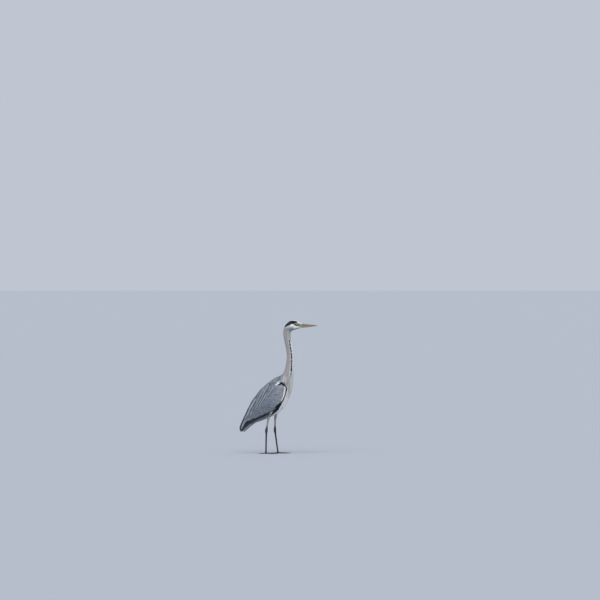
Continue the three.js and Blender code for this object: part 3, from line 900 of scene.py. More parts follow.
# Beak sheath: horn with a dull polish and a fine grain.
BEAK_HORN = Finish("beak_keratin", 0.36, 0.5, 0, 0.15, 9, 0.12, pebble_mm=0.9, relief_mm=0.02)
# Claw: dark dense horn.
CLAW_HORN = Finish("claw_keratin", 0.42, 0.5, 0, 0.1, 4, 0.1)
# Wet cornea over the iris: a clear smooth film, so the light shows in it as one small bright spot.
WET_EYE = Finish("eyeball_wet", 0.12, 0.6, 0, 1.0, 1.2, 0.08)


# ---------- meshes
@dataclass
class Part:
    """Points, paint and faces that are joined into one mesh. Lengths are millimetres."""

    points: Array
    colours: Array  # linear, one to a point
    corners: Array  # the faces' point numbers, one face after another
    sizes: Array  # how many corners each face has
    patch: Array  # place on the unwrap, one to a corner
    vane: Array  # place on the vane, in millimetres, one to a corner
    rim: Array  # tells which points lie on a vane's margin or tip, where the shading breaks


def join(parts: list[Part]) -> Part:
    """Puts parts one after another in one."""
    whole = {item.name: np.concatenate([getattr(part, item.name) for part in parts]) for item in fields(Part)}
    offsets = np.cumsum([0] + [len(part.points) for part in parts[:-1]])
    whole["corners"] = np.concatenate([part.corners + offset for part, offset in zip(parts, offsets)])
    return Part(**whole)


def cells(rows: int, columns: int) -> tuple[Array, Array]:
    """Row and column numbers of each lattice cell's four corners, in turn round the cell."""
    row, column = grid(np.arange(rows - 1), np.arange(columns - 1))
    return (row[..., None] + [0, 0, 1, 1]).reshape(-1, 4), (column[..., None] + [0, 1, 1, 0]).reshape(-1, 4)


def tube(rings: Array, colours: Array, places: Array) -> Part:
    """Closes rings of points into one shell, with a pole at each end.

    Each pole is the mean of its end ring. The faces are turned out by the sign of the shell's volume, which
    is the sum over its triangles of the first corner dotted with the cross product of the others.

    Args:
        rings: ring by point of the ring, with no point twice.
        colours: as rings, linear.
        places: as rings on the unwrap, with one more column for where the ring comes round.

    Returns:
        The shell.
    """
    rows, columns = rings.shape[:2]
    poles = np.stack([rings[0].mean(axis=0), rings[-1].mean(axis=0)])
    points = np.concatenate([rings.reshape(-1, 3), poles])
    paint = np.concatenate([colours.reshape(-1, 3), colours[[0, -1]].mean(axis=1)])
    row, column = cells(rows, columns + 1)
    quads, quad_places = row * columns + column % columns, places[row, column]
    column = np.arange(columns)
    following = (column + 1) % columns
    pole, end = np.full(columns, rows * columns), (rows - 1) * columns
    fans = np.concatenate([
        np.stack([pole, following, column], axis=-1),
        np.stack([pole + 1, end + column, end + following], axis=-1),
    ])
    first, last = places[0], places[-1]
    fan_places = np.concatenate([
        np.stack([(first[:-1] + first[1:]) / 2, first[1:], first[:-1]], axis=1),
        np.stack([(last[:-1] + last[1:]) / 2, last[:-1], last[1:]], axis=1),
    ])
    corners = points[fans], points[quads[:, [0, 1, 2]]], points[quads[:, [0, 2, 3]]]
    volume = sum(np.sum(c[:, 0] * np.cross(c[:, 1], c[:, 2])) for c in corners)
    if volume < 0:
        quads, quad_places = quads[:, ::-1], quad_places[:, ::-1]
        fans, fan_places = fans[:, ::-1], fan_places[:, ::-1]
    places = np.concatenate([quad_places.reshape(-1, 2), fan_places.reshape(-1, 2)])
    sizes = np.concatenate([np.full(len(quads), 4), np.full(len(fans), 3)])
    corners = np.concatenate([quads.ravel(), fans.ravel()])
    return Part(points, paint, corners, sizes, places, places * 0, np.zeros(len(points), dtype=bool))


def add_object(name: str, data: bpy.types.ID) -> bpy.types.Object:
    """Makes an object of a mesh, a lamp or a camera, and puts it in the scene."""
    made = bpy.data.objects.new(name, data)
    bpy.context.scene.collection.objects.link(made)
    return made


def make_piece(name: str, part: Part, finish: "Finish", slot: str, *replaced: str) -> bpy.types.Object:
    """Makes one object of the bird, paints it and ties it to the frame.

    Args:
        name: the object's name.
        part: its geometry, in the bird's own frame.
        finish: its surface.
        slot: a material slot's name; not used.
        replaced: the CAD nodes that it stands for.

    Returns:
        The object, at the origin.
    """
    mesh = bpy.data.meshes.new(name)
    place = (part.points + np.array([SHIFT, 0, 0])) * MM
    mesh.vertices.add(len(place))
    mesh.vertices.foreach_set("co", place.astype(np.float32).ravel())
    mesh.loops.add(len(part.corners))
    mesh.loops.foreach_set("vertex_index", part.corners.astype(np.int32))
    mesh.polygons.add(len(part.sizes))
    starts = np.cumsum(part.sizes) - part.sizes
    mesh.polygons.foreach_set("loop_start", starts.astype(np.int32))
    mesh.polygons.foreach_set("use_smooth", np.ones(len(starts), dtype=bool))
    mesh.update(calc_edges=True)
    ends = np.zeros(len(mesh.edges) * 2, dtype=np.int32)
    mesh.edges.foreach_get("vertices", ends)
    sharp = mesh.attributes.new("sharp_edge", "BOOLEAN", "EDGE")
    sharp.data.foreach_set("value", part.rim[ends.reshape(-1, 2)].all(axis=1))
    for layer_name, places in (("OFBake", part.patch), ("Vane", part.vane)):
        layer = mesh.uv_layers.new(name=layer_name)
        layer.uv.foreach_set("vector", places.astype(np.float32).ravel())
    paint = mesh.color_attributes.new("Plumage", "FLOAT_COLOR", "POINT")
    full = np.concatenate([np.clip(part.colours, 0, 1), np.ones((len(part.colours), 1))], axis=1)
    paint.data.foreach_set("color", full.astype(np.float32).ravel())
    piece = add_object(name, mesh)
    mesh.materials.append(finish.material())
    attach(piece, BODY)
    if replaced:
        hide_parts(*replaced)
    triangles = int((part.sizes - 2).sum())
    LOG.info("%s: %d triangles", name, triangles)
    return piece


# ---------- feathers
class Cut(Enum):
    """How a kind of feather is cut: shares of its length, its half breadth there, and points across."""

    CONTOUR = ((0, 0.3, 0.6, 0.85, 1), (0.4, 0.85, 1, 0.78, 0.14), 3)
    COVERT = ((0, 0.3, 0.55, 0.76, 0.9, 0.97, 1), (0.4, 0.88, 1, 0.96, 0.72, 0.42, 0.12), 5)
    SOFT = ((0, 0.35, 0.7, 1), (0.6, 1, 0.72, 0.06), 3)
    PLUME = ((0, 0.15, 0.35, 0.58, 0.78, 0.92, 1), (0.3, 0.8, 1, 0.86, 0.6, 0.32, 0.06), 3)
    FLIGHT = ((0, 0.08, 0.2, 0.35, 0.5, 0.65, 0.78, 0.88, 0.95, 0.985, 1),
              (0.3, 0.8, 0.97, 1, 1, 0.98, 0.92, 0.78, 0.52, 0.28, 0.06), 7)

    @property
    def stations(self) -> Array:
        """Shares of the length, root to tip."""
        return np.array(self.value[0], dtype=float)

    @property
    def breadths(self) -> Array:
        """Half breadths at the stations, as shares of the greatest."""
        return np.array(self.value[1], dtype=float)

    @property
    def across(self) -> int:
        """Points across the vane."""
        return self.value[2]


@dataclass
class Lay:
    """How feathers lie on a form, with an array or one value for each."""

    length: Array  # root to tip, mm
    breadth: Array  # half breadth, mm
    turn: Array  # radians off the run of the form, towards growing v
    sink: Array  # how far under the form the root sits, mm
    lift: Array  # how far over the form the tip rests, mm
    arch: Array  # how far the middle bows out, mm
    camber: float = 0.3  # how far the edges fall, as a share of the half breadth
    roll: Array = 0.0  # radians that the vane turns about its shaft
    thickness: float = 0.25  # at the root, mm
    ridge: float = 0.0  # how far the shaft stands up from the vane, mm
    # painted shade: the root, under the feathers before it, is darker than the tip
    shade: float = 0.25  # how much darker the root is than the tip

    def pick(self, kept: Array) -> "Lay":
        """The lay of some of the feathers."""
        chosen = {
            name: value[kept] for name, value in vars(self).items() if isinstance(value, Array) and value.ndim
        }
        return replace(self, **chosen)


def walk(form: Form, u: Array, v: Array, lay: Lay, cut: Cut, toward: int) -> tuple[Array, Array, Array]:
    """Lays shafts over a form, step by step from their roots.

    At each station the shaft stands over the form by -sink (1 - s)^1.5 + lift s + 4 arch s (1 - s), where s
    is the share of its length, and the next step goes on along the form at the shaft's turn.

    Args:
        form: the surface.
        u: roots' first parameter.
        v: roots' second parameter.
        lay: sizes and set.
        cut: the stations.
        toward: 1 where feathers lie towards growing u, else -1.

    Returns:
        The shafts' points, the form's normals there and the u and v passed, feather by station.
    """
    u, v = u.copy(), v.copy()
    points, normals, track = [], [], []
    stations = cut.stations
    for k, s in enumerate(stations):
        point, normal, along, across = form.measure(u, v)
        height = -lay.sink * (1 - s) ** 1.5 + lay.lift * s + 4 * lay.arch * s * (1 - s)
        points.append(point + normal * np.asarray(height)[..., None])
        normals.append(normal)
        track.append(np.stack([u, v], axis=-1))
        if k + 1 < len(stations):
            step = (stations[k + 1] - s) * lay.length
            pace_u = np.maximum(np.linalg.norm(along, axis=-1), 1e-3)
            pace_v = np.maximum(np.linalg.norm(across, axis=-1), 1e-3)
            u = u + toward * np.cos(lay.turn) * step / pace_u
            v = v + np.sin(lay.turn) * step / pace_v
    return np.stack(points, axis=1), np.stack(normals, axis=1), np.stack(track, axis=1)


def vane_faces(rows: int, across: int) -> tuple[Array, Array]:
    """The faces of one closed vane, whose rings run over its upper side and back under it.

    Args:
        rows: rings.
        across: points on the upper side of a ring. The under side has two fewer, as the edges are shared.

    Returns:
        Quads round the vane and across its two ends, and triangles at the corners of the ends.
    """
    ring = 2 * across - 2
    row, column = cells(rows, ring + 1)
    quads = [(row * ring + column % ring)[:, [0, 3, 2, 1]]]
    triangles = []
    for base, turned in ((0, 1), ((rows - 1) * ring, -1)):
        middle = np.arange(1, across - 2)
        cap = np.stack([middle, middle + 1, ring - middle - 1, ring - middle], axis=-1) + base
        tips = np.array([[0, 1, ring - 1], [across - 2, across - 1, across]]) + base
        quads.append(cap[:, ::turned])
        triangles.append(tips[:, ::turned])
    return np.concatenate(quads), np.concatenate(triangles)


def vanes(shaft: Array, normal: Array, lay: Lay, cut: Cut, colour: Array, edge: Array, patch: Array) -> Part:
    """Spreads a thin closed vane on each shaft.

    A point at share s of the length and c from -1 to 1 across stands off the shaft by c times the half
    breadth along the side vector, and under it by the camber times c squared. The under side is the same
    sheet, lower by the thickness, and both meet at the edges.

    Args:
        shaft: points, feather by station.
        normal: the way out, feather by station.
        lay: sizes and set.
        cut: outline.
        colour: each feather's colour, or each station's.
        edge: the colour of its margin and tip.
        patch: each root's place on the unwrap.

    Returns:
        All the vanes as one part.
    """
    count, rows = shaft.shape[:2]
    across = cut.across
    along = unit(np.gradient(shaft, axis=1))
    side = unit(np.cross(normal, along))
    out = np.cross(along, side)
    roll, half, length = (
        np.broadcast_to(value, (count,))[:, None, None] for value in (lay.roll, lay.breadth, lay.length)
    )
    side, out = side * np.cos(roll) - out * np.sin(roll), out * np.cos(roll) + side * np.sin(roll)
    breadth = half * cut.breadths[None, :, None]
    upper = np.linspace(-1, 1, across)
    c = np.concatenate([upper, upper[-2:0:-1]])
    under = np.concatenate([np.zeros(across), np.ones(across - 2)])
    s = cut.stations[None, :, None]
    reach = breadth * c
    fall = lay.camber * breadth * c**2 + under * lay.thickness * (1.15 - s)
    fall = fall - lay.ridge * (1 - under) * np.maximum(0, 1 - 4 * np.abs(c)) * (1.1 - s)
    points = shaft[:, :, None] + side[:, :, None] * reach[..., None] - out[:, :, None] * fall[..., None]
    margin = np.clip(np.abs(c) ** 3 * smooth(0.1, 0.5, s) + smooth(0.8, 1.0, s) * 0.8, 0, 1)
    # painted shade at the root, which lies under the neighbouring feathers
    root_shade = 1 - lay.shade * smooth(0.6, 0.1, s)
    stations = colour[:, None] if colour.ndim == 2 else colour
    colours = blend(stations[:, :, None, :], edge[:, None, None, :], margin) * root_shade[..., None]
    colours = np.broadcast_to(colours, points.shape)
    spot = np.stack(np.broadcast_arrays(c * 0.5, s - 0.5), axis=-1) * 0.003
    places = (patch[:, None, None, :] + spot).reshape(-1, 2)
    vane = np.stack(np.broadcast_arrays(reach, s * length), axis=-1).reshape(-1, 2)
    quads, triangles = vane_faces(rows, across)
    offsets = (np.arange(count) * rows * len(c))[:, None, None]
    corners = np.concatenate([(quads + offsets).ravel(), (triangles + offsets).ravel()])
    sizes = np.concatenate([np.full(count * len(quads), 4), np.full(count * len(triangles), 3)])
    rim = np.broadcast_to((np.abs(c) == 1) | (s == 1), points.shape[:3]).ravel()
    points, colours = points.reshape(-1, 3), colours.reshape(-1, 3)
    return Part(points, colours, corners, sizes, places[corners], vane[corners], rim)


def brick(
    form: Form, u_span: tuple[float, float], v_span: tuple[float, float],
    row_gap: Profile, column_gap: Profile, scatter: float, rng: np.random.Generator,
) -> tuple[Array, Array]:
    """Sets out roots in rows across a form, every second row shifted by half a gap, with a little scatter.

    Args:
        form: the surface.
        u_span: first and last place along it.
        v_span: first and last place across it.
        row_gap: distance between rows as a function of u, mm.
        column_gap: distance along a row as a function of u, mm.
        scatter: spread of the roots about their places, as a share of the gaps.
        rng: the chance behind the scatter.

    Returns:
        The roots' u and v.
    """
    dense_u = np.linspace(*u_span, 300)
    dense_v = np.linspace(*v_span, 90)
    mesh = form.point(*np.broadcast_arrays(dense_u[:, None], dense_v[None]))
    advance = np.linalg.norm(np.diff(mesh, axis=0), axis=-1).mean(axis=1)
    middle = (dense_u[1:] + dense_u[:-1]) / 2
    rows = np.concatenate([[0], np.cumsum(advance / profile(row_gap, middle))])
    row_u = np.interp(np.arange(0.5, rows[-1]), rows, dense_u)
    all_u, all_v = [], []
    for number, place in enumerate(row_u):
        ring = form.point(np.full_like(dense_v, place), dense_v)
        run = np.concatenate([[0], np.cumsum(np.linalg.norm(np.diff(ring, axis=0), axis=-1))])
        gap = float(profile(column_gap, place))
        count = max(int(round(run[-1] / gap)), 1)
        spots = (np.arange(count) + (0.25 if number % 2 else 0.75)) / count * run[-1]
        spots = spots + rng.normal(0, scatter * gap, count)
        all_v.append(np.interp(spots, run, dense_v))
        all_u.append(np.full(count, place))
    u, v = np.concatenate(all_u), np.concatenate(all_v)
    pace = np.interp(u, middle, advance) / (dense_u[1] - dense_u[0])
    u = u + rng.normal(0, scatter, len(u)) * profile(row_gap, u) / np.maximum(pace, 1e-3)
    return np.clip(u, *sorted(u_span)), v


def inside(outline: Array, flat: Array) -> Array:
    """Tells which places lie in an outline: those whose ray to +x crosses it an odd number of times.

    Args:
        outline: corners as x and z.
        flat: places as x and z.

    Returns:
        True or false for each place.
    """
    start, end = outline, np.roll(outline, -1, axis=0)
    x, z = flat[:, None, 0], flat[:, None, 1]
    spans = (start[None, :, 1] > z) != (end[None, :, 1] > z)
    rise = np.where(np.abs(end[:, 1] - start[:, 1]) < 1e-9, 1e-9, end[:, 1] - start[:, 1])
    crossing = start[None, :, 0] + (z - start[None, :, 1]) / rise[None] * (end - start)[None, :, 0]
    return ((spans & (crossing > x)).sum(axis=1) % 2) == 1


def blade_outline(rows: Array, shrink: float) -> Array:
    """A blade's outline from the side, drawn in towards its long middle line by a share."""
    dense = rows_at(rows, np.linspace(0, len(rows) - 1, 60))
    upper, lower = dense[:, [0, 2]], dense[:, [3, 5]]
    middle = (upper + lower) / 2
    drawn = np.concatenate([upper, lower[::-1]])
    core = np.concatenate([middle, middle[::-1]])
    return drawn + (core - drawn) * shrink


# ---------- skin
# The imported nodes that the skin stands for.
FLESH = (
    ["head", "neck_upper", "neck_middle", "neck_lower", "breast_plumes", "trunk", "tail"]
    + [f"{name}_{side}" for name in ("wing", "primaries", "scapulars", "thigh", "shank", "tarsus")
       for side in ("left", "right")]
    + [f"toe_{toe}_{side}" for toe in ("inner", "middle", "outer", "hind") for side in ("left", "right")]
)
SIDE_NAME = {RIGHT: "right", LEFT: "left"}


def paint_body(point: Array, u: Array, v: Array) -> Array:
    """The markings of head, neck and trunk, which run into each other at the head's and the neck's foot."""
    colour = blend(paint_trunk(point, v), paint_neck(point, v), smooth(7.0, 8.8, u))
    colour = neck_dashes(colour, point, v)
    return blend(colour, paint_head(point), smooth(15.3, 16.3, u))


def form_grid(form: Form, u: Array, columns: int) -> tuple[Array, Array, Array]:
    """Sets out rings on a closed form.

    Args:
        form: the surface.
        u: the rings' places.
        columns: points to a ring.

    Returns:
        Each point's u and v, and its place on the unwrap with the column where the ring comes round.
    """
    grid_u, grid_v = ring_grid(u, columns)
    places = form.unwrap(*grid(u, np.append(grid_v[0], 2 * math.pi * (1 - 1e-6))))
    return grid_u, grid_v, places


# The eye's middle from the side, as x and z.
EYE_AT = (133, 930)


def from_eye(point: Array) -> Array:
    """How far places are from the eye's middle, seen from the side."""
    return np.sqrt((point[..., 0] - EYE_AT[0]) ** 2 + (point[..., 2] - EYE_AT[1]) ** 2)


@dataclass
class Eyes:
    """The eyeballs, which stand where the solids' do, and the lids round them."""

    iris_radius: float = 4.5
    pupil_radius: float = 2.2
    cornea: float = 0.5  # how far the clear front bulges
    lid_reach: float = 4.5  # radius of the opening
    lid_width: float = 1.1
    lid_height: float = 0.45

    def centre(self, side: int) -> tuple[Array, float]:
        """The eyeball's middle in the bird's own frame and its radius, read from the solids."""
        low, high = (np.array(corner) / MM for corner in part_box(f"eye_{SIDE_NAME[side]}"))
        return (low + high) / 2 - np.array([SHIFT, 0, 0]), float((high[0] - low[0]) / 2)

    def ball(self, side: int) -> Part:
        """A sphere about the sideways axis: rings at polar angle p, radius r sin p, raised at its front.

        The cornea adds its height times 1 - (p / rim)^2, where rim is the angle of the iris's edge.
        """
        middle, radius = self.centre(side)
        rim, edge = math.asin(self.iris_radius / radius), math.asin(self.pupil_radius / radius)
        p = np.concatenate([
            np.linspace(0.04, edge - 0.02, 8), np.linspace(edge + 0.02, rim - 0.03, 12),
            np.linspace(rim + 0.02, 3.0, 16),
        ])
        p_grid, t_grid = ring_grid(p, 48)
        bulge = self.cornea * np.clip(1 - (p_grid / rim) ** 2, 0, 1)
        ball = np.stack(
            [(radius + bulge) * np.sin(p_grid) * np.cos(t_grid), side * (radius + bulge) * np.cos(p_grid),
             (radius + bulge) * np.sin(p_grid) * np.sin(t_grid)], axis=-1,
        )
        fleck = 0.5 + 0.5 * np.sin(t_grid * 17 + 2 * np.sin(t_grid * 5)) * smooth(edge, rim, p_grid)
        colours = layers(
            Tone.IRIS.rgb,
            (Tone.AMBER, 0.35 * fleck),
            (Tone.AMBER, smooth(edge + 0.12, edge, p_grid) * 0.6),
            (Tone.PUPIL, smooth(rim - 0.05, rim + 0.03, p_grid)),
            (Tone.PUPIL, (p_grid < edge).astype(float)),
        )
        places = lattice(p / math.pi, np.linspace(0, 1, 49)) * 0.9 + 0.05
        return tube(ball + middle, colours, places)

    def lids(self, side: int) -> Part:
        """A ring of skin on the eyeball: an ellipse in section, carried round an opening that is an almond.

        The opening's radius is its mean reach times 1 + 0.07 cos 2(t - tilt), and the section swells over
        the eye, where the brow shades it.
        """
        middle, radius = self.centre(side)
        t_grid, w_grid = ring_grid(np.linspace(0, 2 * math.pi, 72, endpoint=False), 14)
        above = np.clip(np.sin(t_grid), 0, 1)
        reach = self.lid_reach * (1 + 0.07 * np.cos(2 * (t_grid - 0.15))) - 0.5 * above
        brow = 1 + 0.5 * above
        polar = np.arcsin(np.clip(reach / (radius + 0.3), 0, 0.98))
        polar = polar + self.lid_width * brow * (0.9 + np.cos(w_grid)) / radius
        folds = 1 + 0.10 * np.sin(w_grid * 3)
        height = radius - 0.1 + self.lid_height * brow * np.sin(w_grid) * folds
        ring = np.stack(
            [height * np.sin(polar) * np.cos(t_grid), side * height * np.cos(polar),
             height * np.sin(polar) * np.sin(t_grid)], axis=-1,
        )
        colours = layers(Tone.LID.rgb, (Tone.EYE_SKIN, 0.5 + 0.5 * np.cos(w_grid)))
        spot = BODY_FORM.unwrap(np.array(19.7), np.array(math.pi / 2 if side > 0 else 1.5 * math.pi))
        return ring_part(ring + middle, colours, spot)


def ring_part(rings: Array, colours: Array, spot: Array) -> Part:
    """A closed ring of closed sections, such as an eyelid, with a small patch of the unwrap for itself."""
    rows, columns = rings.shape[:2]
    row, column = cells(rows + 1, columns + 1)
    quads = row % rows * columns + column % columns
    points = rings.reshape(-1, 3)
    corners = points[quads]
    centre = points.mean(axis=0)
    volume = np.sum((corners[:, 0] - centre) * np.cross(corners[:, 1] - centre, corners[:, 2] - centre))
    quads = quads[:, ::-1] if volume < 0 else quads
    share = lattice(np.arange(rows) / rows, np.arange(columns) / columns).reshape(-1, 2)
    places = (spot + (share - 0.5) * 0.004)[quads.ravel()]
    sizes, rim = np.full(len(quads), 4), np.zeros(len(points), dtype=bool)
    return Part(points, colours.reshape(-1, 3), quads.ravel(), sizes, places, places * 0, rim)


@dataclass
class Foot:
    """One foot: four toes round a pad, each with plates above, pads below and a curved claw."""

    side: int
    hub: float = 7.6
    toes: dict = field(default_factory=lambda: {
        "inner": (-27, 62, 12, 3.7), "middle": (1, 84, 13, 4.0), "outer": (27, 68, 11, 3.7),
        "hind": (172, 46, 18, 3.6),
    })  # bearing from ahead in degrees, length, claw and radius

    @property
    def middle(self) -> Array:
        """The floor under the shank."""
        return np.array([FOOT_X[self.side], self.side * STANCE, 0])

    def heading(self, bearing: float) -> tuple[Array, Array]:
        """The toe's way ahead and its way across, seen from above."""
        angle = math.radians(bearing)
        ahead = np.array([math.cos(angle), self.side * math.sin(angle), 0])
        return ahead, np.array([-ahead[1], ahead[0], 0])

    def toe(self, name: str) -> Part:
        """Rings across the toe, flat where they meet the floor.

        The radius falls by a third and swells at the joints, and the plates across the top add a rounded step
        every 3.2 mm.
        """
        bearing, length, _, root = self.toes[name]
        ahead, across = self.heading(bearing)
        joints = 4 if length > 80 else 3
        u = np.linspace(0, 1, int(length / 0.7))
        u_grid, a_grid = ring_grid(u, 20)
        swell = 1 + 0.13 * np.cos(2 * math.pi * joints * u_grid)
        reach = self.hub * 0.4 + (length - self.hub * 0.4) * u_grid
        plate = np.abs(np.sin(np.pi * reach / 3.2)) ** 0.5 * np.clip(np.cos(a_grid), 0, 1)
        radius = root * (1 - 0.32 * u_grid) * swell - 0.35 + 0.3 * plate
        radius = radius * np.sqrt(np.clip((1 - u_grid) / 0.04 + 0.1, 0, 1))
        height = root * (0.86 - 0.3 * u_grid) * swell + (1 - u_grid) ** 3 * 3
        out = radius * np.sin(a_grid)
        rings = self.middle + reach[..., None] * ahead + out[..., None] * across
        rings[..., 2] = np.maximum(height + radius * np.cos(a_grid), 0)
        return tube(rings, self.paint(rings, plate), self.places(name, u, a_grid.shape[1]))

    def paint(self, rings: Array, plate: Array) -> Array:
        """Dark brown-grey plates with paler edges between them."""
        gap = smooth(0.6, 0.15, plate) * smooth(4, 7, rings[..., 2]) * 0.5
        return layers(Tone.TOE.rgb, (Tone.TOE_WORN, 0.5 + 0.5 * noise(rings, 12, 31)), (Tone.TOE_GAP, gap))

    def places(self, name: str, u: Array, columns: int) -> Array:
        """A strip of the unwrap for each toe."""
        number = list(self.toes).index(name) + (4 if self.side == LEFT else 0)
        low = 0.62 + 0.045 * number
        around = np.linspace(0, 1, columns + 1)
        return lattice(low + 0.04 * u, 0.785 + 0.012 * around)

    def web(self) -> Part:
        """The small web at the roots of the middle and outer toes: a thin lens between their two sides."""
        first, _ = self.heading(self.toes["middle"][0] + 2)
        second, _ = self.heading(self.toes["outer"][0] - 2)
        s = np.linspace(0.02, 0.98, 14)
        s_grid, w_grid = ring_grid(s, 16)
        ahead = unit(first * (1 - s_grid[..., None]) + second * s_grid[..., None])
        far = 24 - 9 * np.sin(np.pi * s_grid)
        reach = far * (0.5 + 0.5 * np.cos(w_grid) * 0.95)
        rings = ahead * reach[..., None] + self.middle
        rings[..., 2] = 2.6 + 0.7 * np.sin(w_grid)
        return tube(rings, self.paint(rings, s_grid * 0 + 1), self.places("middle", s, w_grid.shape[1]))

    def claw(self, name: str) -> Part:
        """A horn hook: rings along a line that rises and falls, thinning to a point, hollowed below."""
        bearing, length, claw, _ = self.toes[name]
        ahead, across = self.heading(bearing)
        u = np.linspace(0, 0.985, 24)
        u_grid, a_grid = ring_grid(u, 16)
        reach = length - 2.2 + (claw + 2.2) * u_grid
        wide, deep = 1.7 * (1 - u_grid) ** 0.8, 2.0 * (1 - u_grid) ** 0.8
        rings = reach[..., None] * ahead + (wide * np.sin(a_grid))[..., None] * across + self.middle
        below = np.where(np.cos(a_grid) < 0, 0.75, 1.0)
        line = 2.6 + 1.3 * np.sin(0.75 * np.pi * u_grid) - 1.6 * u_grid**2
        rings[..., 2] = np.maximum(line + deep * np.cos(a_grid) * below, 0.05)
        colour = layers(Tone.CLAW.rgb, (Tone.CLAW_BASE, 0.5 * (1 - u_grid)))
        places = lattice(u, np.linspace(0, 1, 17)) * 0.9 + 0.05
        return tube(rings, colour, places)


